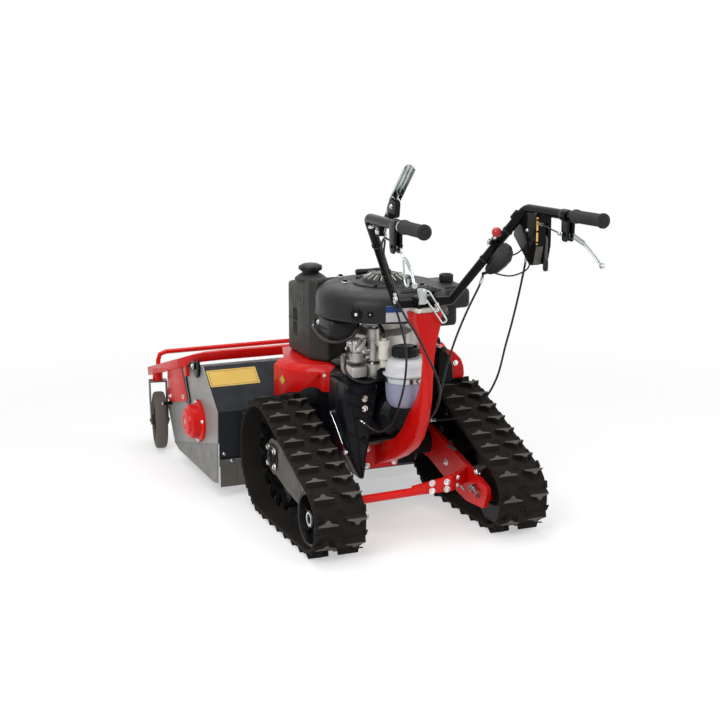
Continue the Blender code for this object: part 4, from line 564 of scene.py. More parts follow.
def add_line(curve, points, closed=False):
    """Adds straight pieces through the points to a curve."""
    line = curve.splines.new("POLY")
    line.points.add(len(points) - 1)
    for spot, place in zip(line.points, points):
        spot.co = (*Vector(place).to_3d(), 1.0)
    line.use_cyclic_u = closed


def both_ways(half):
    """A lathe profile and its mirror image."""
    return half + [(radius, -height) for radius, height in reversed(half)]


def hoop(inner, outer, half):
    """The lathe profile of a plain band."""
    return [(inner, -half), (outer, -half), (outer, half), (inner, half)]


FACES = {
    "X": Matrix(((0, 0, 1, 0), (1, 0, 0, 0), (0, 1, 0, 0), (0, 0, 0, 1))),
    "Y": Matrix(((1, 0, 0, 0), (0, 0, -1, 0), (0, 1, 0, 0), (0, 0, 0, 1))),
    "Z": Matrix.Identity(4),
}


def cut_plate(outline, low, high, finish, axis="X", holes=(), edge=0.0, steps=2):
    """A flat outline with thickness; it holds (y, z) for axis X, (x, z) for Y, (x, y) for Z."""
    low, high = sorted((low, high))
    curve = bpy.data.curves.new("plate", "CURVE")
    curve.dimensions = "2D"
    curve.fill_mode = "BOTH"
    curve.extrude = (high - low) / 2
    for loop in (outline, *holes):
        add_line(curve, loop, True)
    item = onto_bench("plate", curve)
    take(item)
    bpy.ops.object.convert(target="MESH")
    item = bpy.context.object
    clean(item, .000005)
    middle = (high + low) / 2
    shift = {"X": (middle, 0, 0), "Y": (0, middle, 0), "Z": (0, 0, middle)}[axis]
    item.data.transform(moved(shift) @ FACES[axis])
    if edge:
        merge_flat(item)
        round_edges(item, edge, steps)
    return painted(item, finish)


def bent(points, radius, finish, sides=4, section=None):
    """A round bar along a line of points, or an endless belt with a section of its own."""
    curve = bpy.data.curves.new("bar", "CURVE")
    curve.dimensions = "3D"
    curve.bevel_depth = radius
    curve.bevel_resolution = sides
    curve.use_fill_caps = True
    curve.twist_mode = "MINIMUM"
    add_line(curve, points, bool(section))
    if section:
        shape = bpy.data.curves.new("section", "CURVE")
        shape.dimensions = "2D"
        add_line(shape, section, True)
        guide = onto_bench("section", shape)
        curve.bevel_mode = "OBJECT"
        curve.bevel_object = guide
    take(onto_bench("bar", curve))
    bpy.ops.object.convert(target="MESH")
    item = bpy.context.object
    if section:
        drop(guide)
    clean(item, .00003 if section else .000005)
    return painted(item, finish)


def arc(center, radius, first, last, steps):
    points = []
    for index in range(steps + 1):
        angle = radians(first + (last - first) * index / steps)
        points.append((center[0] + radius * cos(angle), center[1] + radius * sin(angle)))
    return points


def rounded(corners, radius, steps=5, closed=False):
    """Replaces the corners of a line by soft bends, in the plane or in space."""
    size = len(corners[0])
    points = [Vector(corner).to_3d() for corner in corners]
    count = len(points)
    made = []
    for index, corner in enumerate(points):
        if not closed and index in (0, count - 1):
            made.append(corner)
            continue
        before = points[index - 1] - corner
        after = points[(index + 1) % count] - corner
        reach = radius * tan((PI - before.angle(after)) / 2)
        reach = min(reach, before.length * .45, after.length * .45)
        first = corner + before.normalized() * reach
        last = corner + after.normalized() * reach
        for step in range(steps + 1):
            t = step / steps
            made.append(first * (1 - t) ** 2 + corner * 2 * t * (1 - t) + last * t ** 2)
    return [tuple(point)[:size] for point in made]


def route(points, spacing):
    """Evenly spaced points on a smooth line through a cable's stops."""
    stops = [Vector(point) for point in points]
    stops.insert(0, stops[0] * 2 - stops[1])
    stops.append(stops[-1] * 2 - stops[-2])
    made = []
    for index in range(1, len(stops) - 2):
        before, first, last, after = stops[index - 1:index + 3]
        count = max(1, round((last - first).length / spacing))
        for step in range(count):
            t = step / count
            made.append(
                (first * 2 + (last - before) * t + (before * 2 - first * 5 + last * 4 - after) * t ** 2
                 + (first * 3 - before - last * 3 + after) * t ** 3) * .5)
    made.append(stops[-2])
    return [tuple(point) for point in made]


def hex_bolt(size, finish=None):
    """A washer and a chamfered hexagon head that stands on z = 0; size is across the corners / 2."""
    finish = finish or BOLT
    washer = turned([(0, 0), (size * 1.45, 0), (size * 1.5, size * .06), (size * 1.45, size * .2),
        (0, size * .2)], finish, sides=20)
    clear_hand()
    bpy.ops.mesh.primitive_cylinder_add(vertices=6, radius=size, depth=size * .75,
        location=(0, 0, size * .575))
    head = settle(bpy.context.object)
    in_edit(head)
    bpy.ops.mesh.bevel(offset=size * .1, segments=2, affect="EDGES")
    mode("OBJECT")
    painted(head, finish)
    return together(washer, head)


def facing(at, normal):
    """Matrix that stands a piece made on z = 0 at a place, facing a direction."""
    return moved(at) @ Vector(normal).to_track_quat("Z", "Y").to_matrix().to_4x4()


def stood(item, at, normal):
    """Stands a piece made on z = 0 at a place."""
    item.data.transform(facing(at, normal))
    return item


def bolts(size, normal, places, finish=None):
    """One bolt model, copied to each place."""
    model = hex_bolt(size, finish)
    made = together(*[copied(model, facing(place, normal)) for place in places])
    drop(model)
    return made


def from_cad(node, finish, edge=0.0, steps=2, angle=30.0):
    """A merged copy of a CAD node's shape with softened edges."""
    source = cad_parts[node]
    item = onto_bench("copy", source.data.copy())
    item.data.transform(moved(-AXLE_SHIFT))
    clean(item, .00002)
    merge_flat(item, radians(1.2))
    if edge:
        round_edges(item, edge, steps, angle)
    return painted(item, finish)


def finished(name, body, slot_word, *items, stands_for=(), smooth=32.0):
    """Joins, shades and places a finished piece and lets it ride on its body."""
    item = together(*items)
    take(item)
    bpy.ops.object.shade_smooth_by_angle(angle=radians(smooth))
    item.name = name
    item.data.name = name
    item.data.transform(moved(AXLE_SHIFT))
    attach(item, body)
    if stands_for:
        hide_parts(*stands_for)
    return item


def fixed(name, slot_word, *items, **more):
    """A finished piece that stands still on the machine."""
    return finished(name, "chassis", slot_word, *items, **more)


# ---------------- rubber track drive

PITCH = .0648
LINKS = 25
DRIVE_RADIUS = PITCH * 16 / (2 * PI)
IDLER_RADIUS = .0915
CORD = .0055
LUG = .015
AXLE_Z = DRIVE_RADIUS + CORD + LUG
IDLER_Z = IDLER_RADIUS + CORD + LUG
TRACK_X = .29


def wheelbase():
    base = PITCH * LINKS / 4
    for _ in range(40):
        tilt = atan2(DRIVE_RADIUS - IDLER_RADIUS, base)
        base = (PITCH * LINKS - (PI + 2 * tilt) * DRIVE_RADIUS - (PI - 2 * tilt) * IDLER_RADIUS) / 2
    return base


BASE = wheelbase()
IDLER_Y = -BASE
TILT = atan2(DRIVE_RADIUS - IDLER_RADIUS, BASE)


def from_line(share, lift):
    """Point (y, z) at a share of the way from the axle to the idler, lifted off that line."""
    line = Vector((IDLER_Y, IDLER_Z - AXLE_Z))
    up = Vector((line.y, -line.x)).normalized()
    return tuple(Vector((0, AXLE_Z)) + line * share + up * lift)


def belt_place(travel):
    """(y, z, outward angle) on the belt's cord line; travel starts under the drive axle."""
    travel = travel % (PITCH * LINKS)
    if travel < BASE:
        return -travel, AXLE_Z - DRIVE_RADIUS, -PI / 2
    travel -= BASE
    small = (PI - 2 * TILT) * IDLER_RADIUS
    if travel < small:
        angle = -PI / 2 - travel / IDLER_RADIUS
        return IDLER_Y + IDLER_RADIUS * cos(angle), IDLER_Z + IDLER_RADIUS * sin(angle), angle
    travel -= small
    normal = PI / 2 + 2 * TILT
    if travel < BASE:
        y = IDLER_Y + IDLER_RADIUS * cos(normal) + travel * sin(normal)
        return y, IDLER_Z + IDLER_RADIUS * sin(normal) - travel * cos(normal), normal
    travel -= BASE
    angle = normal - travel / DRIVE_RADIUS
    return DRIVE_RADIUS * cos(angle), AXLE_Z + DRIVE_RADIUS * sin(angle), angle


def link_place(index, x):
    """Matrix from a link's own (across, along, outward) to its place on the belt."""
    y, z, angle = belt_place((index + .5) * PITCH)
    across = Vector((1, 0, 0))
    along = Vector((0, sin(angle), -cos(angle)))
    outward = Vector((0, cos(angle), sin(angle)))
    frame_of_link = Matrix((across, along, outward)).transposed().to_4x4()
    frame_of_link.translation = Vector((x, y, z))
    return frame_of_link


LUG_SHAPE = (
    (-.0745, -.008), (-.013, -.008), (-.012, -.0045), (-.024, -.001), (-.034, .002),
    (-.0385, .0095), (-.044, .0125), (-.0495, .0092), (-.055, .0018), (-.066, -.0004),
    (-.0752, -.0045))


def tread_lug():
    """A bar with one pointed fin and sloping flanks; its rubbed top is paler."""
    top = CORD + LUG
    lug = cut_plate(LUG_SHAPE, CORD - .002, top - .0022, TRACK_RUBBER, axis="Z")
    lug.data.materials.append(LUG_TOP)
    merge_flat(lug, .02)
    pick_faces(lug, lambda face: face.normal.z < -.9)
    bpy.ops.transform.resize(value=(1.08, 1.9, 1), center_override=(-.044, .001, CORD))
    pick_faces(lug, lambda face: face.normal.z > .9)
    bpy.ops.mesh.extrude_region_move(TRANSFORM_OT_translate={"value": (0, 0, .0022)})
    bpy.ops.transform.resize(value=(.975, .93, 1), center_override=(-.044, .001, top))
    mode("OBJECT")
    for face in lug.data.polygons:
        if face.normal.z > .9:
            face.material_index = 1
    return lug


def drive_horn():
    """A wedge with rounded edges on the inner side of the belt."""
    horn = block((-.017, -.015, -.029), (.017, .015, -.004), TRACK_RUBBER)
    pick_faces(horn, lambda face: face.normal.z < -.9)
    bpy.ops.transform.resize(value=(.8, .22, 1), center_override=(0, 0, -.029))
    mode("OBJECT")
    return round_edges(horn, .0018, 2, 20)


def track_link():
    """One pitch of the tread: two opposed lugs, a clearing pocket's collar and a drive horn."""
    left = tread_lug()
    right = copied(left, Matrix.Rotation(PI, 4, "Z"))
    collar = cut_plate([(-.0085, .0215), (.0085, .0215), (.0085, .0385), (-.0085, .0385)], CORD - .001,
        CORD + .0016, TRACK_RUBBER, axis="Z", holes=[[(-.0055, .0245), (.0055, .0245), (.0055, .0355),
        (-.0055, .0355)]])
    rib_l = block((-.0775, .02, CORD - .001), (-.07, .042, CORD + .0022), TRACK_RUBBER)
    rib_r = block((.07, .02, CORD - .001), (.0775, .042, CORD + .0022), TRACK_RUBBER)
    return together(left, right, collar, rib_l, rib_r, drive_horn())


def belt_body():
    """Endless belt with rounded edges, a thin middle and thicker running rims."""
    half = .078
    inside = -CORD
    outer = [(-half, .0015), (-half + .0012, .0042), (-half + .004, CORD), (-.064, CORD),
        (-.062, CORD - .0014), (-.016, CORD - .0014), (-.014, CORD)]
    outer += [(-x, z) for x, z in reversed(outer)]
    inner = [(half, inside + .002), (half - .002, inside), (-half + .002, inside), (-half, inside + .002)]
    section = [(x, -z) for x, z in outer + inner]
    steps = 4 * LINKS
    points = []
    for index in range(steps):
        y, z, _ = belt_place(PITCH * LINKS * index / steps)
        points.append((0, y, z))
    return bent(points, 0.0, TRACK_RUBBER, section=section)


def build_tracks():
    link = track_link()
    belt = belt_body()
    for word, side in SIDES:
        x = side * TRACK_X
        tread = [copied(link, link_place(index, x)) for index in range(LINKS)]
        fixed(word + "_track_belt", "track_rubber", copied(belt, moved((x, 0, 0))), *tread,
            stands_for=[word + "_track"], smooth=28)
    drop(link, belt)


def side_matrix(side, x=0.0, y=0.0, z=0.0):
    """Stands a piece made along +X at a place, its face towards the given side."""
    return moved((x, y, z)) @ (Matrix.Identity(4) if side > 0 else Matrix.Rotation(PI, 4, "Z"))


def build_sprocket(word, side):
    """Toothed star on a drilled web, with its bolted hub, on the drive shaft."""
    rim, valley, tip = .1581, .1161, .0105
    outline = []
    for index in range(16):
        middle = -PI / 2 + 2 * PI * index / 16
        for radius, turn in ((valley, -PI / 16 - .045), (valley, -PI / 16 + .045)):
            outline.append((radius * cos(middle + turn), radius * sin(middle + turn)))
        for half in (-tip, tip):
            angle = middle + asin(half / rim)
            outline.append((rim * cos(angle), rim * sin(angle)))
    window = arc((0, 0), .1, 0, 360, 47)[:-1]
    star = cut_plate(rounded(outline, .006, 2, True), -.016, .016, BLACK, holes=[window])
    holes = [arc((.074 * cos(k * PI / 3), .074 * sin(k * PI / 3)), .015, 0, 360, 20)[:-1] for k in range(6)]
    web = cut_plate(arc((0, 0), .101, 0, 360, 48)[:-1], -.005, .005, BLACK, holes=holes)
    hub = turned([(0, .034), (.0145, .034), (.015, .0325), (.015, .02), (.04, .02), (.042, .018),
        (.042, -.01), (.02, -.012), (.015, -.014), (.015, -.15), (0, -.15)], BLACK, axis="X", sides=36)
    nuts = bolts(.0058, (1, 0, 0),
        [(.0198, .029 * cos(k * PI / 2 + .4), .029 * sin(k * PI / 2 + .4)) for k in range(4)], BOLT)
    wheel = together(star, web, hub, nuts)
    wheel.data.transform(side_matrix(side, side * TRACK_X, 0, AXLE_Z))
    finished(word + "_drive_sprocket", word + "_sprocket", "black_paint", wheel,
        stands_for=[word + "_sprocket"])


def build_idler(word, side):
    """Dished rear wheel with ribs, a raised hub and a bright bearing ring."""
    profile = [
        (.0106, .056), (.019, .0585), (.0245, .0595), (.026, .058), (.0275, .044), (.03, .0415),
        (.063, .0415), (.066, .043), (.0715, .0625), (.074, .064), (.0825, .064), (.0843, .062),
        (.0843, .0235), (.083, .022), (.059, .022), (.057, .02), (.057, -.02), (.059, -.022),
        (.083, -.022), (.0843, -.0235), (.0843, -.062), (.083, -.064), (.0106, -.064)]
    wheel = turned(profile, BLACK, axis="X", sides=48, ring=True)
    ribs = []
    rib = block((.04, .024, -.0028), (.053, .07, .0028), BLACK, .001)
    for index in range(5):
        ribs.append(copied(rib, Matrix.Rotation(2 * PI * index / 5 + .3, 4, "X")))
    drop(rib)
    ring = turned([(.0145, .0575), (.015, .0615), (.021, .0615), (.0218, .0575)], STEEL, axis="X", sides=36,
        ring=True)
    wheel = together(wheel, ring, *ribs)
    wheel.data.transform(side_matrix(side, side * TRACK_X, IDLER_Y, IDLER_Z))
    finished(word + "_idler_wheel", word + "_idler", "black_paint", wheel, stands_for=[word + "_idler"])


PLATE_EDGE = ((.216, .0818), (.454, .0609), (.651, .0309), (.713, -.0133), (.656, -.044), (.329, -.0522))


def build_track_plate(word, side):
    """Grey-brown side plate with the shaft's bolted bearing housing."""
    outline = arc((0, AXLE_Z), .056, -110, 100, 18) + [from_line(*point) for point in PLATE_EDGE]
    outline = outline[:1] + rounded(outline[1:], .014, 3)
    sheet = cut_plate(outline, side * (TRACK_X + .022), side * (TRACK_X + .027), PLATE_GREY, edge=.0009,
        steps=1)
    ridge = [from_line(*point) for point in ((.16, .052), (.44, .04), (.61, .014), (.6, -.026), (.3, -.034),
        (.18, .01))]
    panel = cut_plate(rounded(ridge, .016, 4, True), side * (TRACK_X + .026), side * (TRACK_X + .0285),
        PLATE_GREY, edge=.0012)
    housing = turned([(0, .0335), (.014, .0335), (.016, .0385), (.0185, .039), (.0245, .039), (.0265, .037),
        (.028, .0325), (.0385, .0315), (.04, .03), (.04, .024), (0, .024)], GLOSS_PLASTIC, axis="X",
        sides=44)
    housing.data.transform(side_matrix(side, side * TRACK_X, 0, AXLE_Z))
    spacer = rod((side * .2108, *from_line(.608, .0043)), (side * .314, *from_line(.608, .0043)), .012,
        PLATE_GREY, 24)
    fixed(word + "_outer_plate", "grey_paint", sheet, panel, housing, spacer,
        stands_for=[word + "_track_plate"])
    places = [(side * (TRACK_X + .0335), y, AXLE_Z + z) for y in (-.027, .027) for z in (-.025, .025)]
    fixed(word + "_bearing_bolts", "bright_steel", bolts(.0078, (side, 0, 0), places))


ARM_EDGE = ((.331, .0537), (.739, .0497), (1.089, .0412), (1.051, -.0308), (.771, -.0619), (.488, -.0648))
ARM_POCKET = ((.332, .0503), (.741, .0462), (1.079, .0379), (1.042, -.0279), (.769, -.0584), (.486, -.0613))


def build_arm(word, side):
    """Pressed channel from the axle tube to the idler pin, with its tensioning screw."""
    outer = arc((0, AXLE_Z), .056, -105, 105, 18) + rounded([from_line(*p) for p in ARM_EDGE], .018, 4)
    inner = arc((0, AXLE_Z), .0525, -105, 105, 18) + rounded([from_line(*p) for p in ARM_POCKET], .015, 4)
    web = cut_plate(outer, side * .197, side * .201, RED, holes=[arc((0, AXLE_Z), .0445, 0, 360, 40)[:-1]],
        edge=.0008, steps=1)
    rim = cut_plate(outer, side * .2005, side * .2105, RED, holes=[inner])
    boss = rod((side * .199, IDLER_Y, IDLER_Z), (side * .2255, IDLER_Y, IDLER_Z), .018, RED, 28, .002)
    y, z = from_line(.608, .0043)
    post = rod((side * .2, y, z), (side * .2105, y, z), .016, RED, 24, .001)
    fixed(word + "_arm_channel", "red_paint", web, rim, boss, post, stands_for=[word + "_idler_arm"])
    pin = rod((side * .215, IDLER_Y, IDLER_Z), (side * .344, IDLER_Y, IDLER_Z), .01, STEEL, 24, .001)
    x = side * .1895
    y = IDLER_Y + (.004 if side > 0 else -.03)
    z = IDLER_Z + (.004 if side > 0 else -.006)
    way = Vector((0, .051, .016)).normalized()
    foot = Vector((x, y, z))
    screw = rod(foot, foot + way * .053, .0042, STEEL, 16)
    parts = [pin, screw]
    for reach in (0.0, .026, .04):
        nut = hex_bolt(.0088, ZINC)
        stood(nut, foot + way * reach, way)
        parts.append(nut)
    for index in range(9):
        parts.append(rod(foot + way * (.0085 + index * .0018), foot + way * (.0093 + index * .0018), .0049,
            STEEL, 14))
    fixed(word + "_tension_screw", "bright_steel", *parts)
    inner_face = side * .1972
    nuts = [(inner_face, -.356, .177), (inner_face, -.15, .15)]
    marks = [bolts(.0072, (-side, 0, 0), nuts)]
    ratchet = cut_plate([(-.285, .101), (-.279, .096), (-.229, .107), (-.231, .118), (-.24, .119)],
        *sorted((inner_face, side * .1955)), ZINC)
    marks.append(ratchet)
    for index in range(7):
        spot = Vector((side * .1962, -.276 + index * .0068, .1035 + index * .0016))
        marks.append(rod(spot, spot - Vector((side * .0016, 0, 0)), .0019, STEEL, 10))
    bracket = block(*[tuple(sorted(pair)[k] for pair in zip((inner_face, -.222, .208),
        (side * .187, -.17, .213))) for k in (0, 1)], PLATE_GREY, .0012)
    fixed(word + "_arm_fittings", "zinc_plate", *marks, bracket)


def build_tie_bar():
    """Round bar and folded strap across the back, bolted to both arms."""
    y = IDLER_Y + .0415
    z = IDLER_Z + .022
    bar = rod((-.195, y, z), (.03, y, z + .006), .0125, RED, 28)
    plan = [(-.01, y - .006), (.118, y - .006), (.1967, y + .054), (.1967, y + .066), (.114, y + .006),
        (-.01, y + .006)]
    strap = cut_plate(plan, z - .006, z + .04, RED, axis="Z", edge=.0012)
    for corner in strap.data.vertices:
        if corner.co.x < 0.0 and corner.co.z > z + .01:
            corner.co.z -= .018
    foot = block((-.1967, y - .013, z - .018), (-.1907, y + .013, z + .024), RED, .0014)
    weld = turned([(.0122, 0), (.015, .001), (.0145, .003), (.0124, .0042)], RED, (-.1909, y, z), "X", 24)
    fixed("rear_tie_bar", "red_paint", bar, strap, foot, weld, stands_for=["tie_bar"])
    bolt = bolts(.0068, (0, -1, 0), [(.052, y - .006, z + .026), (.052, y - .006, z + .002),
        (.1, y - .006, z + .024), (.1, y - .006, z + .002)])
    skew = Vector((.06, -.0787, 0)).normalized()
    more = bolts(.0062, skew, [(.147, y + .016, z + .026), (.147, y + .016, z + .003)])
    fixed("tie_bar_bolts", "bright_steel", bolt, more)


def build_running_gear():
    build_tracks()
    for word, side in SIDES:
        build_sprocket(word, side)
        build_idler(word, side)
        build_track_plate(word, side)
        build_arm(word, side)
    build_tie_bar()


# ---------------- engine

ENGINE_Y = -.1


def sector(item, first, last, middle=(0.0, ENGINE_Y)):
    """Keeps only the faces whose direction from the middle lies between two angles."""
    def away(face):
        turn = degrees(atan2(face.center.y - middle[1], face.center.x - middle[0])) % 360
        return not first < turn < last

    pick_faces(item, away)
    bpy.ops.mesh.delete(type="FACE")
    mode("OBJECT")
    return item


def round_copies(item, count, middle, first=0.0):
    """Copies of a piece round an upright axis; the piece itself goes."""
    made = []
    for index in range(count):
        turn = Matrix.Rotation(first + 2 * PI * index / count, 4, "Z")
        made.append(copied(item, moved(middle) @ turn))
    drop(item)
    return made


def build_shroud():
    """Blower shroud with a soft shoulder, side wing, seams, cover screws and louvres."""
    profile = [
        (.088, .7215), (.092, .7222), (.15, .7222), (.165, .7203), (.179, .715), (.19, .706),
        (.197, .694), (.1998, .68), (.1998, .642), (.2018, .6405), (.2018, .636),
        (.197, .635), (.197, .68), (.188, .701), (.165, .7165), (.088, .7175)]
    bell = turned(profile, PLASTIC, (0, ENGINE_Y, 0), "Z", 88, ring=True)
    wing = block((.15, -.195, .642), (.252, 0.0, .704), PLASTIC, .016, 4)
    step = block((.168, -.178, .7), (.24, -.018, .7095), PLASTIC, .0045, 3)
    skirt = block((.15, -.15, .582), (.226, -.03, .65), PLASTIC, .008, 3)
    ribs = [block((.2255, -.142 + .014 * k, .59), (.2295, -.136 + .014 * k, .64), PLASTIC, .0012,
        1) for k in range(8)]
    seam = block((.1975, -.0012, .638), (.2012, .0012, .69), PLASTIC, .0005, 1)
    seams = round_copies(seam, 3, (0, ENGINE_Y, 0), radians(221))
    fins = [block((-.004 + .013 * k, -.262, .7215), (.003 + .013 * k, -.196, .7262), PLASTIC, .0012,
        1) for k in range(9)]
    tower = block((-.012, -.268, .716), (.118, -.19, .7235), PLASTIC, .003, 2)
    stays = [rod((x, ENGINE_Y + y, .618), (x, ENGINE_Y + y, .719), .007, BLACK, 16) for x,
        y in ((-.048, .083), (-.048, -.083), (.095, .01))]
    fixed("engine_shroud", "black_plastic", bell, wing, step, skirt, *ribs, *seams, *fins, tower, *stays,
        stands_for=["blower_shroud"])
    spots = [(-.078, .04, .7222), (-.1, -.051, .7222), (.105, .004, .7222), (.088, -.196, .7235)]
    pads = [turned([(0, 0), (.0125, 0), (.013, .0006), (.012, .0016), (0, .0016)], ZINC, spot,
        sides=24) for spot in spots]
    fixed("shroud_washers", "zinc_plate", *pads)
    heads = bolts(.0062, (0, 0, 1), [(x, y, z + .0012) for x, y, z in spots], BLACK)
    fixed("shroud_screws", "black_paint", heads)
    panel = turned([(.2004, .642), (.2012, .6422), (.2012, .6795), (.1992, .689), (.1984, .6888)], LABEL,
        (0, ENGINE_Y, 0), "Z", 180, ring=True)
    panel = sector(panel, 249, 275)
    band = turned([(.2012, .67), (.2016, .6702), (.2015, .679), (.1994, .6885), (.199, .6882)], LABEL_BLUE,
        (0, ENGINE_Y, 0), "Z", 180, ring=True)
    band = sector(band, 249.6, 263)
    fixed("plain_shroud_plate", "cream_plate", panel, band)
    # Painted highlight: a pale blank disc on the shroud top stands in for a white highlight there.
    highlight_disc = turned([(0, .7221), (.03, .7221), (.0305, .7226), (.03, .723), (0, .723)], LABEL,
        (.012, .048, 0), "Z", 40)
    fixed("painted_highlight_disc", "cream_plate", highlight_disc)
    grille = []
    for turn, height, size in ((225.0, .662, .017), (237.0, .664, .009)):
        way = Vector((cos(radians(turn)), sin(radians(turn)), 0))
        spot = Vector((0, ENGINE_Y, height)) + way * .1995
        dome = turned([(0, .004), (size * .3, .004), (size * .34, .0022), (size * .46, .0022),
            (size * .5, .0044), (size * .68, .0044), (size * .72, .0022), (size * .84, .0022),
            (size * .88, .0046), (size, .004), (size * 1.06, 0)], GLOSS_PLASTIC, sides=32)
        stood(dome, spot, way)
        screw = hex_bolt(size * .2, BOLT)
        stood(screw, spot + way * .0036, way)
        grille += [dome, screw]
    fixed("shroud_side_screens", "black_plastic", *grille)


def build_recoil_cover():
    """Starter housing: a cone with a ring of slots, ribs between them and the rope's outlet."""
    x, y, base = .01, -.1, .7223
    shell = turned([(0, .0288), (.036, .0288), (.04, .0284), (.044, .0272), (.064, .0178), (.068, .015),
        (.073, .0066), (.077, .0052), (.0955, .004), (.0975, .0022), (.0975, .0002), (.0715, .0002),
        (.0695, .004), (.063, .0138), (.042, .0236), (0, .025)], PLASTIC, (x, y, base), "Z", 72)
    slot = block((.0425, -.003, .005), (.068, .003, .034), PLASTIC, .0024, 2)
    slot.data.transform(Matrix.Rotation(.55, 4, "Z"))
    cutters = round_copies(slot, 18, (x, y, base))
    shell = carve(shell, together(*cutters))
    cap = turned([(0, .0299), (.024, .0299), (.025, .0292), (.033, .0292), (.034, .0299), (.037, .0297),
        (.037, .028), (0, .028)], GLOSS_PLASTIC, (x, y, base), "Z", 48)
    nose = block((x - .014, y + .078, base), (x + .014, y + .1115, base + .018), PLASTIC, .004, 3)
    screws = bolts(.0045, (0, 0, 1), [(x + .0915 * cos(a), y + .0915 * sin(a), base + .0042) for a in (.2,
        2.3, 4.0, 5.3)], BLACK)
    fixed("starter_housing", "black_plastic", shell, cap, nose, screws, stands_for=["recoil_cover"])
    # Painted highlight: cream lines along one edge of each slot stand in for the bright edges of the black
    # ribs.
    rib = bent([(.043, 0, .0276), (.054, 0, .0226), (.0665, 0, .016)], .0012, CREAM, 2)
    rib.data.transform(Matrix.Rotation(.55 + .06, 4, "Z"))
    edges = round_copies(rib, 18, (x, y, base))
    fixed("starter_slot_highlights", "black_plastic", *edges)
    z = .732
    bar_y = .012 + .018
    stem = turned([(.0072, 0), (.0068, .006), (.0056, .01), (.0072, .0165)], PLASTIC, (x, .012, z), "Y", 24)
    bar = turned([(0, -.042), (.0065, -.0418), (.0088, -.0395), (.0095, -.034), (.0088, -.016), (.0084, 0),
        (.0088, .016), (.0095, .034), (.0088, .0395), (.0065, .0418), (0, .042)], PLASTIC,
        (x, bar_y, z + .002), "X", 28)
    rings = [turned([(.0087, 0.0), (.0099, .0012), (.0087, .0024)], PLASTIC, (x + off, bar_y, z + .002),
        "X", 24) for off in (-.028, -.022, .02, .026)]
    finished("starter_handle", "starter_grip", "black_plastic", stem, bar, *rings,
        stands_for=["starter_grip"])


def build_tank():
    """Jug-shaped fuel tank with a bay for the shroud, a grip recess, a seam and a notched cap."""
    outline = rounded([(-.172, .068), (-.126, .01), (-.04, .105), (.034, .15), (.034, .262), (-.172, .262)],
        .016, 3, True)
    low = .4604
    jug = cut_plate(outline, low, .716, TANK_PLASTIC, axis="Z")
    in_edit(jug)
    bpy.ops.mesh.dissolve_limited(angle_limit=.01)
    bpy.ops.mesh.select_all(action="SELECT")
    bpy.ops.mesh.bisect(plane_co=(0, .068, .716), plane_no=(0, .19, 1), use_fill=True, clear_outer=True)
    mode("OBJECT")
    jug = carve(jug, rod((0, ENGINE_Y, .623), (0, ENGINE_Y, .8), .206, TANK_PLASTIC, 96))
    merge_flat(jug)
    round_edges(jug, .011, 4, 50, full=True)
    jug = carve(jug, block((-.186, .17, .516), (-.163, .208, .604), TANK_PLASTIC, .0085, 4))
    seam = cut_plate(rounded([(-.1728, .0672), (-.1262, .0088), (-.04, .104), (.0348, .1494),
        (.0348, .2628), (-.1728, .2628)], .016, 3, True), .5615, .564, TANK_PLASTIC, axis="Z")
    sunk = turned([(0, .0008), (.011, .0008), (.013, .0016), (.015, .0016), (.0165, 0)], TANK_PLASTIC,
        (-.172, .128, .64), "-X", 28)
    x, y = -.138, .142
    neck = turned([(.0225, .684), (.022, .7), (.024, .7015), (.024, .704), (.0215, .7055), (.0215, .709),
        (.0228, .7105), (.0228, .7125), (.0212, .714), (.0212, .7215), (0, .7215)], TANK_PLASTIC, (x, y, 0),
        "Z", 36)
    collar = turned([(.05, .7), (.049, .706), (.046, .709), (.033, .7185), (.029, .7205), (0, .7205)],
        TANK_PLASTIC, (x, y, 0), "Z", 40)
    pipe = rod((-.03, .112, .47), (-.03, .09, .47), .0045, PLASTIC, 14)
    fixed("fuel_jug", "tank_plastic", jug, seam, sunk, neck, collar, pipe, stands_for=["fuel_tank"])
    cap = turned([(0, .7495), (.0215, .75), (.0255, .7488), (.033, .745), (.0352, .742), (.0352, .7345),
        (.0335, .7305), (.027, .727), (.0262, .7223), (0, .7223)], PLASTIC, (x, y, 0), "Z", 48)
    lobe = block((.0315, -.0052, .732), (.0372, .0052, .7445), PLASTIC, .0022, 2)
    finished("fuel_jug_cap", "fuel_cap", "black_plastic", cap, *round_copies(lobe, 9, (x, y, 0)),
        stands_for=["fuel_cap"])


def build_oil_cap():
    x, y, base = .213, ENGINE_Y, .704
    cap = turned([(0, .0285), (.015, .0285), (.0165, .03), (.019, .0298), (.0202, .028), (.0208, .0076),
        (.02, .0061), (.0142, .006), (.0142, .0059), (0, .0059)], PLASTIC, (x, y, base), "Z", 40)
    grip = block((.0192, -.0013, .0072), (.0217, .0013, .028), PLASTIC, .0007, 1)
    bar = block((x - .0125, y - .0028, base + .0278), (x + .0125, y + .0028, base + .0318), PLASTIC, .0012,
        2)
    finished("oil_filler_cap", "oil_cap", "black_plastic", cap, *round_copies(grip, 20, (x, y, base)), bar,
        stands_for=["oil_cap"])


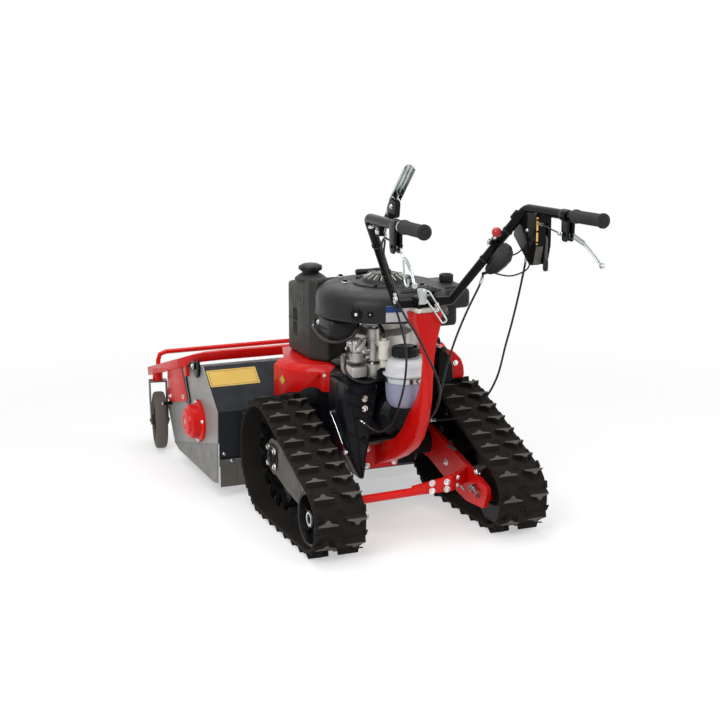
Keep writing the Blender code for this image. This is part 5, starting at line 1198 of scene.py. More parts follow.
def build_crankcase():
    """Die-cast crankcase with web ribs, flange bolts, finned cylinder and its valve cover."""
    case = turned([(0, .617), (.104, .617), (.106, .6155), (.106, .613), (.062, .6115), (.062, .59),
        (.084, .5815), (.09, .575), (.09, .5075), (.0935, .506), (.0935, .499), (.118, .4965),
        (.1215, .493), (.1215, .464), (.125, .462), (.125, .4575), (0, .4575)], ALUMINIUM, (0, ENGINE_Y, 0),
        "Z", 56)
    rib = block((.115, -.002, .46), (.1248, .002, .4955), ALUMINIUM, .001, 1)
    ribs = round_copies(rib, 26, (0, ENGINE_Y, 0), .06)
    web = block((.06, -.003, .506), (.0925, .003, .577), ALUMINIUM, .0014, 1)
    webs = round_copies(web, 9, (0, ENGINE_Y, 0), .35)
    post = rod((.0905, 0, .4985), (.0905, 0, .5195), .0072, ALUMINIUM, 16, .001)
    posts = round_copies(post, 7, (0, ENGINE_Y, 0), .52)
    tower = turned([(0, .604), (.016, .604), (.0175, .602), (.0185, .585), (.0185, .5105), (.022, .507),
        (0, .507)], ALUMINIUM, (-.062, -.18, 0), "Z", 32)
    side = [block((-.092, -.192, .5125), (-.05, -.166, .5235), ALUMINIUM, .003, 2),
        block((-.14, -.205, .46), (-.09, -.12, .494), ALUMINIUM, .006, 3)]
    x, z = .105, .545
    barrel = rod((x, ENGINE_Y + .03, z), (x, .118, z), .038, ALUMINIUM, 32)
    fins = []
    for index in range(9):
        y = -.004 + .0115 * index
        fins.append(block((x - .053, y, z - .049), (x + .053, y + .0032, z + .049), ALUMINIUM, .0009, 1))
    head = block((x - .048, .1, z - .044), (x + .048, .1245, z + .044), ALUMINIUM, .006, 3)
    lid = block((x - .036, .1235, z - .03), (x + .036, .126, z + .03), ALUMINIUM, .001, 1)
    fixed("engine_casting", "cast_aluminium", case, *ribs, *webs, *posts, tower, *side, barrel, *fins, head,
        lid, stands_for=["crankcase"])
    ring = [(.0905 * cos(.52 + 2 * PI * k / 7), ENGINE_Y + .0905 * sin(.52 + 2 * PI * k / 7),
        .5192) for k in range(7)]
    low = [(.11 * cos(.9 + PI * k / 2), ENGINE_Y + .11 * sin(.9 + PI * k / 2), .4962) for k in range(4)]
    top = bolts(.0048, (0, 0, 1), ring + low + [(-.062, -.18, .6035)])
    front = bolts(.0052, (0, 1, 0), [(x + a, .1242, z + b) for a in (-.041, .041) for b in (-.036, .036)])
    fixed("engine_bolts", "bright_steel", top, front)


def build_intake():
    """Air cleaner, carburettor with its bowl, linkage, and the two looped hoses."""
    box_low, box_high = (-.196, -.17, .574), (-.11, -.06, .6345)
    body = block(box_low, box_high, PLASTIC, .016, 4)
    lid = block((-.196, -.166, .5985), (-.11, -.064, .606), PLASTIC, .0022, 2)
    vents = [block((-.1962, -.15 + .0125 * k, .58), (-.1925, -.145 + .0125 * k, .596), PLASTIC, .0008,
        1) for k in range(7)]
    fixed("air_filter_box", "black_plastic", body, lid, *vents, stands_for=["air_cleaner"])
    body = block((-.135, -.2, .5345), (-.096, -.15, .5735), ALUMINIUM, .005, 3)
    bowl = turned([(0, .4985), (.0085, .4985), (.0095, .5015), (.0175, .5035), (.0205, .5075), (.021, .53),
        (.0228, .531), (.0228, .5345), (.02, .536), (0, .536)], ALUMINIUM, (-.116, -.178, 0), "Z", 36)
    throat = rod((-.11, -.165, .552), (-.077, -.1455, .552), .012, ALUMINIUM, 24, .001)
    flange = block((-.1395, -.194, .54), (-.1345, -.156, .57), ALUMINIUM, .002, 2)
    fixed("carburettor_casting", "cast_aluminium", body, bowl, throat, flange, stands_for=["carburettor"])
    link = bent(rounded([(-.118, -.202, .566), (-.118, -.206, .578), (-.086, -.206, .578),
        (-.062, -.2, .56), (-.052, -.196, .531)], .006, 4), .0014, STEEL, 3)
    spring = []
    for index in range(64):
        turn = index * .9
        spring.append((-.13 + .0008 * index, -.2075 + .0028 * cos(turn), .543 + .0028 * sin(turn)))
    coil = bent(spring, .0006, STEEL, 1)
    arm = cut_plate(rounded([(-.132, .545), (-.118, .541), (-.1, .556), (-.094, .58), (-.1, .582),
        (-.11, .566)], .004, 3, True), -.2045, -.2025, ZINC, axis="Y")
    screws = bolts(.004, (0, -1, 0), [(-.126, -.2, .568), (-.102, -.2, .54), (-.122, -.2045, .548)])
    fuel = bolts(.005, (-1, 0, 0), [(-.1395, -.188, .566), (-.1395, -.162, .544), (-.1955, -.073, .612)])
    fixed("carburettor_linkage", "bright_steel", link, coil, arm, screws, fuel)
    loops = [
        [(-.17, .01, .601), (-.186, -.02, .602), (-.201, -.05, .592), (-.204, -.095, .579),
         (-.203, -.16, .573), (-.19, -.222, .579), (-.164, -.25, .596), (-.14, -.242, .616),
         (-.125, -.215, .63)],
        [(-.139, -.176, .55), (-.154, -.188, .524), (-.16, -.202, .488), (-.144, -.226, .464),
         (-.11, -.244, .456), (-.078, -.247, .464), (-.056, -.242, .49), (-.048, -.225, .524),
         (-.05, -.196, .548)],
    ]
    made = [bent(route(stops, .006), radius, JACKET, 4) for stops, radius in zip(loops, (.0048, .004))]
    clips = []
    for (x, y, z), way in (((-.2005, -.049, .593), (-.3, -.9, -.3)), ((-.15, -.183, .529),
            (-.2, -.2, -1.0))):
        ring = turned(hoop(.0046, .0062, .0025), ZINC, sides=20, ring=True)
        stood(ring, (x, y, z), way)
        clips.append(ring)
    fixed("engine_hoses", "cable_jacket", *made, *clips)


def build_muffler():
    x = .105 + .0543
    body = block((x, .03, .505), (x + .066, .12, .59), BLACK, .014, 4)
    outlet = rod((x + .05, .11, .53), (x + .07, .15, .52), .012, BLACK, 24, .001)
    slots = [block((x + .064, .04 + .011 * k, .522), (x + .0685, .0455 + .011 * k, .574), BLACK, .0012,
        1) for k in range(7)]
    seam = block((x + .002, .028, .5455), (x + .068, .122, .55), BLACK, .0015, 2)
    fixed("exhaust_box", "black_paint", body, outlet, seam, *slots, stands_for=["muffler"])


def build_bottle():
    """Oil reservoir of two welded halves in its steel band, with its cap and hose fitting."""
    x, y = -.008, -.29
    bottle = turned([(0, .5375), (.029, .5375), (.03, .536), (.0305, .533), (.04, .5315), (.049, .527),
        (.055, .519), (.0572, .508), (.0578, .493), (.0592, .4908), (.0648, .4903), (.0655, .4888),
        (.0655, .4853), (.0648, .4838), (.059, .4832), (.0576, .4815), (.057, .45), (.0555, .419),
        (.0535, .408), (.048, .396), (.0415, .389), (.038, .388), (0, .39)], BOTTLE, (x, y, 0), "Z", 64)
    fixed("oil_reservoir", "bottle_plastic", bottle, stands_for=["oil_bottle"], smooth=40)
    cap = turned([(0, .5668), (.033, .5668), (.037, .5655), (.039, .5625), (.0394, .54), (.0385, .5384),
        (0, .5384)], GLOSS_PLASTIC, (x, y, 0), "Z", 48)
    rib = block((.0385, -.0011, .5405), (.0402, .0011, .561), GLOSS_PLASTIC, .0005, 1)
    dish = turned([(.02, .5667), (.0215, .5674), (.028, .5674), (.0295, .5667)], GLOSS_PLASTIC, (x, y, 0),
        "Z", 40)
    finished("reservoir_cap", "bottle_cap", "black_plastic", cap, dish, *round_copies(rib, 34, (x, y, 0)),
        stands_for=["bottle_cap"])
    band = turned([(.0579, .464), (.0596, .4642), (.0596, .4788), (.0579, .479)], ZINC, (x, y, 0), "Z", 64,
        ring=True)
    lug = [block((x + .024, y - .064, .465), (x + .027, y - .05, .478), ZINC, .0006, 1),
        block((x + .033, y - .06, .465), (x + .036, y - .045, .478), ZINC, .0006, 1)]
    clamp = rod((x + .02, y - .06, .4715), (x + .04, y - .056, .4715), .0026, STEEL, 12)
    head = hex_bolt(.0066, ZINC)
    stood(head, (x + .021, y - .06, .4715), (-.95, -.25, 0))
    stay = block((x - .01, y + .057, .4555), (x + .01, -.205, .47), ZINC, .001, 1)
    fixed("reservoir_band", "zinc_plate", band, *lug, clamp, head, stay)
    fitting = [
        turned([(.0165, .526), (.0165, .5665), (.0152, .57), (.0175, .5705), (.018, .579),
            (.016, .5812), (.0062, .5815), (.0057, .588), (0, .588)], CREAM, (-.06, -.256, 0), "Z",
            36),
        block((-.07, -.264, .49), (-.05, -.245, .53), CREAM, .003, 2)]
    hose = bent(route([(-.06, -.256, .586), (-.06, -.252, .6), (-.057, -.232, .612), (-.052, -.2, .616)],
        .006), .0045, JACKET, 4)
    fixed("breather_fitting", "cream_plate", *fitting, hose)
    shelf = cut_plate([(-.086, .464), (-.046, .464), (-.046, .493), (-.056, .501), (-.076, .501),
        (-.086, .493)], -.266, -.2635, BLACK, axis="Y", edge=.0006, steps=1)
    arm = block((-.086, -.266, .46), (-.046, -.208, .464), BLACK, .0008, 1)
    fixed("breather_bracket", "black_paint", shelf, arm)


def build_engine():
    build_shroud()
    build_recoil_cover()
    build_tank()
    build_oil_cap()
    build_crankcase()
    build_intake()
    build_muffler()
    build_bottle()


# ---------------- gearcase, fenders and column

def build_gearcase():
    """Cast gearcase with parting flanges, stiffening ribs, covers, plugs and the axle tube."""
    side_line = [(.16, .175), (.16, .35), (.12, .392), (.01, .43), (-.14, .452), (-.165, .41),
        (-.165, .275), (-.1, .245), (-.1, .14), (.12, .14)]
    case = cut_plate(rounded(side_line, .014, 3, True), -.114, .114, GEAR_BLACK)
    merge_flat(case)
    round_edges(case, .007, 3, 50, full=True)
    back_line = [(-.166, .446), (-.056, .446), (-.068, .35), (-.094, .215), (-.102, .148), (-.116, .148),
        (-.152, .225), (-.17, .35)]
    side = cut_plate(rounded(back_line, .02, 4, True), -.212, -.08, GEAR_BLACK, axis="Y")
    merge_flat(side)
    round_edges(side, .011, 4, 50, full=True)
    lip = [(-.1685, .4455), (-.054, .4455), (-.0655, .35), (-.0915, .213), (-.099, .1465), (-.117, .1465),
        (-.154, .2245), (-.172, .35)]
    flange = cut_plate(rounded(lip, .022, 4, True), -.152, -.146, GEAR_BLACK, axis="Y", edge=.0015)
    parts = [case, side, flange]
    for (ax, az), (bx, bz) in (((-.16, .424), (-.072, .386)), ((-.162, .392), (-.078, .35)),
            ((-.156, .3), (-.1, .262)), ((-.132, .33), (-.116, .19))):
        parts.append(bent([(ax, -.2105, az), (bx, -.2105, bz)], .0042, GEAR_BLACK, 3))
    for y in (-.195, -.175, -.125, -.105):
        parts.append(bent([(-.1655, y, .395), (-.16, y, .3), (-.134, y, .215)], .0032, GEAR_BLACK, 3))
    cover = turned([(0, .23), (.03, .23), (.034, .2365), (.046, .238), (.05, .236), (.066, .223),
        (.068, .2215), (.07, .214), (.07, .15), (0, .15)], GEAR_BLACK, (.01, 0, .34), "-Y", 44)
    rib = block((-.0026, -.011, .044), (.0026, .011, .068), GEAR_BLACK, .001)
    arms = [copied(rib, moved((.01, -.2185, .34)) @ Matrix.Rotation(k * PI / 3 + .3, 4,
        "Y")) for k in range(6)]
    drop(rib)
    tube = turned(both_ways([(0, -.2095), (.0405, -.2095), (.043, -.207), (.043, -.146), (.06, -.146),
        (.062, -.144), (.062, -.134), (.06, -.132), (.056, -.125)]), GEAR_BLACK, (0, 0, AXLE_Z), "X", 44)
    neck = rod((0, .15, .28), (0, .2157, .28), .05, GEAR_BLACK, 40)
    box = block((-.08, .2137, .215), (.08, .2237, .272), GEAR_BLACK, .003)
    nub = rod((-.096, -.098, .196), (-.078, -.112, .146), .01, PLATE_GREY, 24, .002, far=.019)
    fill = turned([(.018, .43), (.018, .4488), (.0165, .45), (0, .45)], GEAR_BLACK, (.08, -.135, 0), "Z",
        28)
    fixed("gear_housing", "black_paint", *parts, cover, *arms, tube, neck, box, nub, fill,
        stands_for=["transmission_case"])
    spots = [(-.103, -.2125, .398), (-.103, -.2125, .368), (-.15, -.2125, .428), (-.07, -.2125, .42),
        (-.144, -.2125, .232), (-.103, -.2125, .276)]
    low = bolts(.0066, (0, -1, 0), spots[:2])
    dark = bolts(.0056, (0, -1, 0), spots[2:] + [(.01 + .06 * cos(a), -.2265,
        .34 + .06 * sin(a)) for a in [k * PI / 3 for k in range(6)]], BLACK)
    ends = [bolts(.0056, (side_way, 0, 0), [(side_way * .1462, .053 * cos(a),
        AXLE_Z + .053 * sin(a)) for a in [k * PI / 3 + .5 for k in range(6)]], BLACK) for side_way in (-1,
        1)]
    link = bent(rounded([(-.1735, -.118, .338), (-.168, -.15, .3), (-.161, -.2, .24)], .02, 4), .0017, ZINC,
        3)
    ball = turned([(0, .009), (.0055, .0075), (.0082, .002), (.0082, -.003), (.0055, -.008), (0, -.009)],
        STEEL, (-.161, -.2, .238), "Y", 24)
    eye = turned([(0, .006), (.006, .005), (.0072, 0), (.006, -.005), (0, -.006)], STEEL,
        (-.1735, -.118, .339), "X", 20)
    arm = cut_plate(rounded([(-.21, .23), (-.19, .228), (-.138, .265), (-.14, .28), (-.152, .282),
        (-.208, .244)], .005, 3, True), -.166, -.163, ZINC)
    fixed("case_bolts", "bright_steel", low, dark, *ends, link, ball, eye, arm)


def build_engine_plate():
    outline = rounded([(-.125, -.212), (.125, -.212), (.125, .07), (-.125, .07)], .03, 6, True)
    sheet = cut_plate(outline, .4492, .457, BLACK, axis="Z", edge=.0012)
    fixed("engine_mount_plate", "black_paint", sheet)


FENDER_LINE = [(-.262, .136), (-.258, .098), (-.247, .062), (-.23, .032), (-.205, .01), (-.176, -.002),
    (-.152, -.012), (-.143, -.034)]


def build_fenders():
    """Both track fenders: the left one curls round the tank, the right one carries its guard."""
    shape = from_cad("left_fender", RED, .0008, 2, 40)
    bead = bent(route([(x * .995, y + .0012, .4404) for x, y in FENDER_LINE[:-1]], .012), .0016, RED, 3)
    fixed("left_track_fender", "red_paint", shape, bead, stands_for=["left_fender"], smooth=40)
    fixed("left_fender_bolt", "bright_steel", bolts(.0066, (-.39, -.92, 0), [(-.152, -.0125, .428)]),
        bolts(.006, (0, 0, 1), [(-.15, .15, .4598), (-.15, .262, .4598)]))
    sign = [(0.0, .017), (.015, 0.0), (0.0, -.017), (-.015, 0.0)]
    plate = cut_plate(sign, 0.0, .0006, YELLOW, axis="Z")
    line = cut_plate([(x * .9, y * .9) for x, y in sign], .0006, .0008, LABEL_DARK, axis="Z",
        holes=[[(x * .84, y * .84) for x, y in sign]])
    mark = together(plate, line)
    way = Vector((-.955, -.297, 0.0))
    stood(mark, Vector((-.2528, .08, .404)) + way * .0042, way)
    fixed("left_fender_plate", "cream_plate", mark)
    outline = [(.1255, .4573), (.215, .472), (.262, .476), (.29, .463), (.312, .44), (.322, .415),
        (.326, .376), (.232, .376), (.232, .425), (.1255, .43)]
    box = cut_plate(rounded(outline, .014, 4, True), -.01, .19, RED, axis="Y", edge=.0045, steps=4)
    folds = [bent([(x, -.0098, z), (x + .06, -.0098, z - .002)], .0014, RED, 2) for x,
        z in ((.256, .41), (.256, .432))]
    fixed("right_track_fender", "red_paint", box, *folds, stands_for=["right_fender"], smooth=36)
    outline = [(.206, .38), (.262, .38), (.256, .432), (.246, .466), (.23, .488), (.206, .497)]
    guard = cut_plate(rounded(outline, .016, 5, True), -.066, -.0095, BLACK, axis="Y", edge=.005, steps=4)
    rim = cut_plate(rounded([(.2045, .3785), (.264, .3785), (.258, .433), (.248, .468), (.2315, .49),
        (.2045, .499)], .016, 5, True), -.016, -.0105, BLACK, axis="Y", edge=.001)
    knob = turned([(0, .084), (.007, .0838), (.0095, .082), (.01, .079), (.0088, .076), (.006, .074),
        (.006, .069), (0, .069)], PLASTIC, (.218, 0, .492), "-Y", 28)
    fixed("right_belt_guard", "black_paint", guard, rim, knob)
    fixed("right_fender_bolts", "bright_steel", bolts(.006, (0, -1, 0), [(.17, -.0102, .446),
        (.292, -.0102, .428)]))


def build_column():
    """Folded steering column with its foot flange, cap and the four bolts that hold it."""
    shape = from_cad("handle_column", RED, .001, 2, 30)
    ridge = bent(route([(-.014, -.172, .185), (-.014, -.265, .227), (-.014, -.336, .27),
        (-.014, -.38, .314), (-.0135, -.4115, .3725)], .012), .0016, RED, 2)
    fixed("column_sheet", "red_paint", shape, ridge, stands_for=["handle_column"], smooth=36)
    feet = [(-.049, -.1064, .209), (-.051, -.1064, .155), (.041, -.1064, .184), (.04, -.1064, .158)]
    fixed("column_foot_bolts", "bright_steel", bolts(.0062, (0, -1, 0), feet))
    tray = block((-.092, -.135, .228), (.07, -.101, .24), PLATE_GREY, .003)
    stud = turned([(0, .012), (.006, .012), (.007, .01), (.007, 0)], ZINC, (.046, -.122, .2395), "Z", 20)
    fixed("case_foot_strip", "grey_paint", tray, stud)


# ---------------- flail deck

COVER_BOLTS = ((.354, .2), (.476, .188), (.508, .335), (.432, .336))
SIDE_LINE = [(.226, .278), (.302, .338), (.374, .397), (.683, .327), (.797, .164), (.722, .052),
    (.667, .038), (.276, .036), (.238, .043)]


def build_deck_shell():
    """Charcoal shell with soft creases, a blank decal, a fold flange and its screws."""
    shape = from_cad("deck_shell", CHARCOAL, .0012, 2, 20)
    crease = bent([(-.419, .307, .3432), (.419, .307, .3432)], .0016, CHARCOAL, 3)
    fold = bent([(-.419, .3725, .3912), (.419, .3725, .3912)], .003, CHARCOAL, 3)
    low = bent([(-.419, .2262, .278), (.419, .2262, .278)], .0028, CHARCOAL, 3)
    fixed("deck_sheet", "charcoal_paint", shape, crease, fold, low, stands_for=["deck_shell"], smooth=34)
    tilt = Vector((0, -(.39 - .278), .372 - .228)).normalized()
    middle = Vector((-.335, (.372 + .228) / 2, (.39 + .278) / 2)) + Vector((0, .0335, .026))
    lay = moved(middle + tilt * .0041)
    across = Vector((1, 0, 0))
    up = tilt.cross(across)
    turn = Matrix((across, up, tilt)).transposed().to_4x4()
    card = cut_plate(rounded([(-.083, -.034), (.083, -.034), (.083, .034), (-.083, .034)], .004, 3, True),
        0.0, .0007, YELLOW, axis="Z")
    rim = cut_plate([(-.078, -.029), (.078, -.029), (.078, .029), (-.078, .029)], .0007, .0009, LABEL_DARK,
        axis="Z", holes=[[(-.0768, -.0278), (.0768, -.0278), (.0768, .0278), (-.0768, .0278)]])
    decal = together(card, rim)
    decal.data.transform(lay @ turn)
    fixed("deck_plain_decal", "cream_plate", decal)
    rear = bolts(.0044, (0, -1, 0), [(-.404, .2238, .143), (.404, .2238, .143)])
    fixed("deck_screws", "zinc_plate", rear)
    tags = [block((min(x, y), .2186, .042), (max(x, y), .2202, .108), PLATE_GREY, .0005, 1) for x,
        y in ((-.419, -.363), (.419, .363))]
    fixed("rear_corner_plates", "grey_paint", *tags)


def build_side_plates():
    """Cut deck sides with a bearing hole, a slightly raised lower panel in a darker grey of painted shade,
    and a stop pin.
    """
    for word, side in SIDES:
        x = side * .42
        face = side * .424
        hole = arc((.415, .206), .02, 0, 360, 28)[:-1]
        sheet = cut_plate(SIDE_LINE, x, face, GREY, holes=[hole], edge=.0008, steps=1)
        # Painted shade: the lower panel takes the darker copy of the grey.
        crease = cut_plate([(.2312, .176), (.7225, .0545), (.721, .052), (.667, .0385), (.276, .0365),
            (.2385, .0435)], side * .4236, side * .425, GREY_PAINTED_SHADE, edge=.0005, steps=1)
        fixed(word + "_deck_side", "grey_paint", sheet, crease, stands_for=[word + "_side_plate"])
        pin = rod((side * .423, .745, .186), (side * .456, .745, .186), .0065, BLACK, 20, .0008)
        end = turned([(0, .003), (.0045, .003), (.0055, .0018), (.0055, 0)], ZINC, sides=20)
        stood(end, (side * .4558, .745, .186), (side, 0, 0))
        fixed(word + "_stop_pin", "black_paint", pin, end)


def build_flaps():
    """Rear rubber flap with its clamp strip, and the swinging front flap."""
    rear = block((-.418, .2199, .034), (.418, .2235, .126), FLAP_RUBBER, .0008, 1)
    strip = block((-.418, .22, .11), (.418, .2237, .128), BLACK, .001, 1)
    fixed("rear_rubber_flap", "grip_rubber", rear, strip, stands_for=["rear_flap"])
    fixed("rear_flap_bolts", "bright_steel", bolts(.005, (0, -1, 0), [(-.38 + .19 * k, .22,
        .119) for k in range(5)]))
    shape = from_cad("front_flap", FLAP_RUBBER, .0006, 1, 30)
    strip = block((-.4, .685, .27), (.4, .6878, .286), BLACK, .0008, 1)
    heads = bolts(.0046, (0, 1, 0), [(-.36 + .18 * k, .6895, .278) for k in range(5)])
    finished("front_swing_flap", "front_flap", "grip_rubber", shape, strip, heads,
        stands_for=["front_flap"])


def build_bearing_cover():
    """Stepped red bearing cover on the left side with its two ears and four bolts."""
    at = (-.4243, .415, .206)
    cover = turned([(0, .0498), (.01, .05), (.0185, .0498), (.02, .0475), (.0225, .047), (.0245, .0495),
        (.0385, .05), (.041, .0488), (.044, .0415), (.047, .0398), (.053, .0385), (.0555, .0365),
        (.0568, .013), (.0585, .0115), (.064, .0102), (.066, .0085), (.066, 0), (0, 0)], RED, at, "-X", 56)
    ears = []
    for turn in (80, -100):
        y = .415 + .06 * cos(radians(turn))
        z = .206 + .06 * sin(radians(turn))
        ears.append(rod((-.4243, y, z), (-.4325, y, z), .01, RED, 24, .0012))
    fixed("left_bearing_cover", "red_paint", cover, *ears, stands_for=["bearing_cover"])
    places = [(-.4342, .415 + .0605 * cos(a), .206 + .0605 * sin(a)) for a in [radians(t) for t in (80,
        -100, 350, 170)]]
    plug = turned([(0, .0013), (.0052, .0013), (.0062, .0008), (.0062, 0)], ZINC, (-.474, .415, .206), "-X",
        24)
    fixed("bearing_cover_bolts", "bright_steel", bolts(.0056, (-1, 0, 0), places), plug)


def build_drive_cover():
    """Belt cover on the right side: a rounded casing with a raised middle and bolts."""
    shape = from_cad("drive_cover", RED, .0045, 3, 40)
    wells = together(*[rod((.4692, y, z), (.48, y, z), .0085, RED, 20) for y, z in COVER_BOLTS])
    shape = carve(shape, wells)
    ridge = cut_plate(arc((.415, .206), .034, 195, 345, 14) + arc((.47, .325), .016, -15, 165, 12), .4735,
        .4752, RED, edge=.0008)
    fixed("right_drive_cover", "red_paint", shape, ridge, stands_for=["drive_cover"])
    places = [(.4692, y, z) for y, z in COVER_BOLTS]
    fixed("drive_cover_bolts", "bright_steel", bolts(.0048, (1, 0, 0), places))


def build_rotor():
    """Flail rotor and its four rows of loose hammer knives."""
    body = from_cad("hammer_rotor", BLACK, .001, 1, 30)
    weld = turned([(.04, -.004), (.044, -.004), (.04, -.009)], STEEL, (0, .415, .206), "X", 32, ring=True)
    finished("flail_rotor", "hammer_rotor", "black_paint", body, weld, stands_for=["hammer_rotor"])
    for row in range(1, 5):
        word = "hammer_row_%d" % row
        shape = from_cad(word, STEEL, .0012, 2, 30)
        finished("flail_row_%d" % row, word, "bright_steel", shape, stands_for=[word])


def build_front_frame():
    """Red front frame: flat-sided bars, guard hoop, hanger plates, pivot bosses and blanks."""
    shape = from_cad("front_frame", RED, .0012, 2, 30)
    fixed("front_guard_frame", "red_paint", shape, stands_for=["front_frame"], smooth=36)
    for word, side in SIDES:
        face = side * .4303
        spots = [(face, .74, .211), (face, .58, .248)]
        fixed(word + "_hanger_bolts", "bright_steel", bolts(.006, (side, 0, 0), spots))
        backing = cut_plate(rounded([(.612, .348), (.575, .356), (.512, .252), (.516, .238), (.53, .23),
            (.556, .233)], .004, 2, True), side * .4244, side * .4288, BLACK, edge=.0006, steps=1)
        ear = cut_plate([(.47, .395), (.408, .404)] + arc((.428, .384), .036, 120, 330, 14) + [(.505, .354),
            (.52, .37)], side * .4244, side * .433, BLACK, edge=.0012)
        tab = cut_plate(rounded([(.585, .372), (.53, .386), (.524, .33), (.545, .326)], .003, 2, True),
            side * .4244, side * .4345, RED, edge=.0008)
        boss = rod((side * .43, .432, .386), (side * .439, .432, .386), .012, BLACK, 24, .001)
        screw = bolts(.0062, (side, 0, 0), [(side * .4388, .432, .386)], ZINC)
        fixed(word + "_frame_bracket", "black_paint", backing, ear, tab, boss, screw)
        cap = turned([(0, .286), (.006, .2858), (.0105, .284), (.014, .2805), (.0165, .279), (.0165, .278)],
            ZINC, (side * .434, .885, 0), "Z", 28)
        fixed(word + "_pivot_cap", "zinc_plate", cap)


def build_caster(word, side):
    """Fork of bent strap and the spoked rubber wheel that it carries."""
    x = side * .434
    turn = (moved((x, .885, 0)) @ Matrix.Rotation(radians(side * 10.0), 4, "Z") @ moved((-x, -.885, 0)))
    shape = from_cad(word + "_caster_fork", PLATE_GREY, .0008, 2, 30)
    nuts = bolts(.0056, (1, 0, 0), [(x + .0285, .851, .1)])
    more = bolts(.0056, (-1, 0, 0), [(x - .0285, .851, .1)])
    for item in (nuts, more):
        item.data.transform(turn)
    finished(word + "_fork_strap", word + "_caster_fork", "zinc_plate", shape, nuts, more,
        stands_for=[word + "_caster_fork"])
    tyre = turned(both_ways([(.069, .0125), (.069, .014), (.0745, .0206), (.079, .0213), (.086, .0206),
        (.0935, .0186), (.0975, .0158), (.0996, .011), (.1, .004)]), WHEEL_RUBBER, axis="X", sides=56,
        ring=True)
    rim = turned(both_ways([(.06, .0125), (.062, .015), (.07, .015), (.0712, .013)]), PLASTIC, axis="X",
        sides=56, ring=True)
    hub = turned(both_ways([(.0066, .0255), (.007, .026), (.0175, .0258), (.019, .0245), (.02, .004)]),
        PLASTIC, axis="X", sides=36, ring=True)
    web = turned([(.019, .003), (.062, .003), (.062, -.003), (.019, -.003)], PLASTIC, axis="X", sides=48,
        ring=True)
    spoke = block((-.012, -.0024, .018), (.012, .0024, .0625), PLASTIC, .001, 1)
    spokes = [copied(spoke, Matrix.Rotation(2 * PI * k / 9, 4, "X")) for k in range(9)]
    drop(spoke)
    wheel = together(tyre, rim, hub, web, *spokes)
    wheel.data.transform(turn @ moved((x, .851, .1)))
    finished(word + "_caster_tyre", word + "_caster_wheel", "wheel_rubber", wheel,
        stands_for=[word + "_caster_wheel"])


def build_deck():
    build_gearcase()
    build_engine_plate()
    build_fenders()
    build_column()
    build_deck_shell()
    build_side_plates()
    build_flaps()
    build_bearing_cover()
    build_drive_cover()
    build_rotor()
    build_front_frame()
    build_caster("left", -1)
    build_caster("right", 1)


# ---------------- handlebar and controls

GRIP_REAR = Vector((.252, -.948, 1.0088))
BEND_REAR = Vector((.237, -.556, .992))
CLAMP_END = Vector((.085, -.402, .717))


def mirrored(point, side):
    return Vector((point[0] * side, point[1], point[2]))


def build_clamp():
    """Cream clamp on the column's head with its split, screws, lock pin and collars round the cross tube.
    """
    body = block((-.036, -.431, .6903), (.036, -.376, .705), CREAM, .0035, 3)
    over = block((-.031, -.4255, .7046), (.031, -.379, .7365), BLACK, .0115, 4)
    lips = [block((x, -.43, .704), (x + .012, -.424, .72), BLACK, .002) for x in (-.033, .021)]
    collar = turned([(.0137, -.0345), (.018, -.0345), (.019, -.0335), (.019, -.032), (.0137, -.032)], BLACK,
        (0, -.402, .717), "X", 32, ring=True)
    other = turned([(.0137, .0345), (.019, .0335), (.019, .032), (.0137, .032)], BLACK, (0, -.402, .717),
        "X", 32, ring=True)
    fixed("handle_clamp", "cream_plate", body, over, *lips, collar, other, stands_for=["column_clamp"])
    pin = rod((-.014, -.425, .7265), (-.014, -.449, .7265), .004, STEEL, 16, .0006)
    fixed("clamp_screws", "bright_steel", pin, bolts(.0046, (0, -1, 0), [(.027, -.4298, .7125),
        (-.028, -.4308, .698), (.027, -.4308, .698)]))


def build_lock_lever():
    """Ribbed cam block with its sprung wire loop."""
    cam = block((-.036, -.448, .72), (-.014, -.4305, .764), ZINC, .0022, 2)
    teeth = [block((-.036 + .0052 * k, -.4486, .723), (-.0338 + .0052 * k, -.4462, .762), ZINC, .0006,
        1) for k in range(5)]
    loop = bent(rounded([(-.024, -.4435, .759), (-.004, -.4435, .756), (.052, -.447, .668),
        (.038, -.447, .66), (-.018, -.4435, .74)], .006, 5), .0028, STEEL, 4)
    finished("clamp_lock_lever", "lock_lever", "zinc_plate", cam, *teeth, loop, stands_for=["lock_lever"])


def half_tube(side):
    """The bar's line on one side, from its rear end to the clamp."""
    points = [mirrored((.2515, -.93, 1.008), side), mirrored(BEND_REAR, side), mirrored(CLAMP_END, side)]
    return rounded([tuple(point) for point in points], .04, 8)


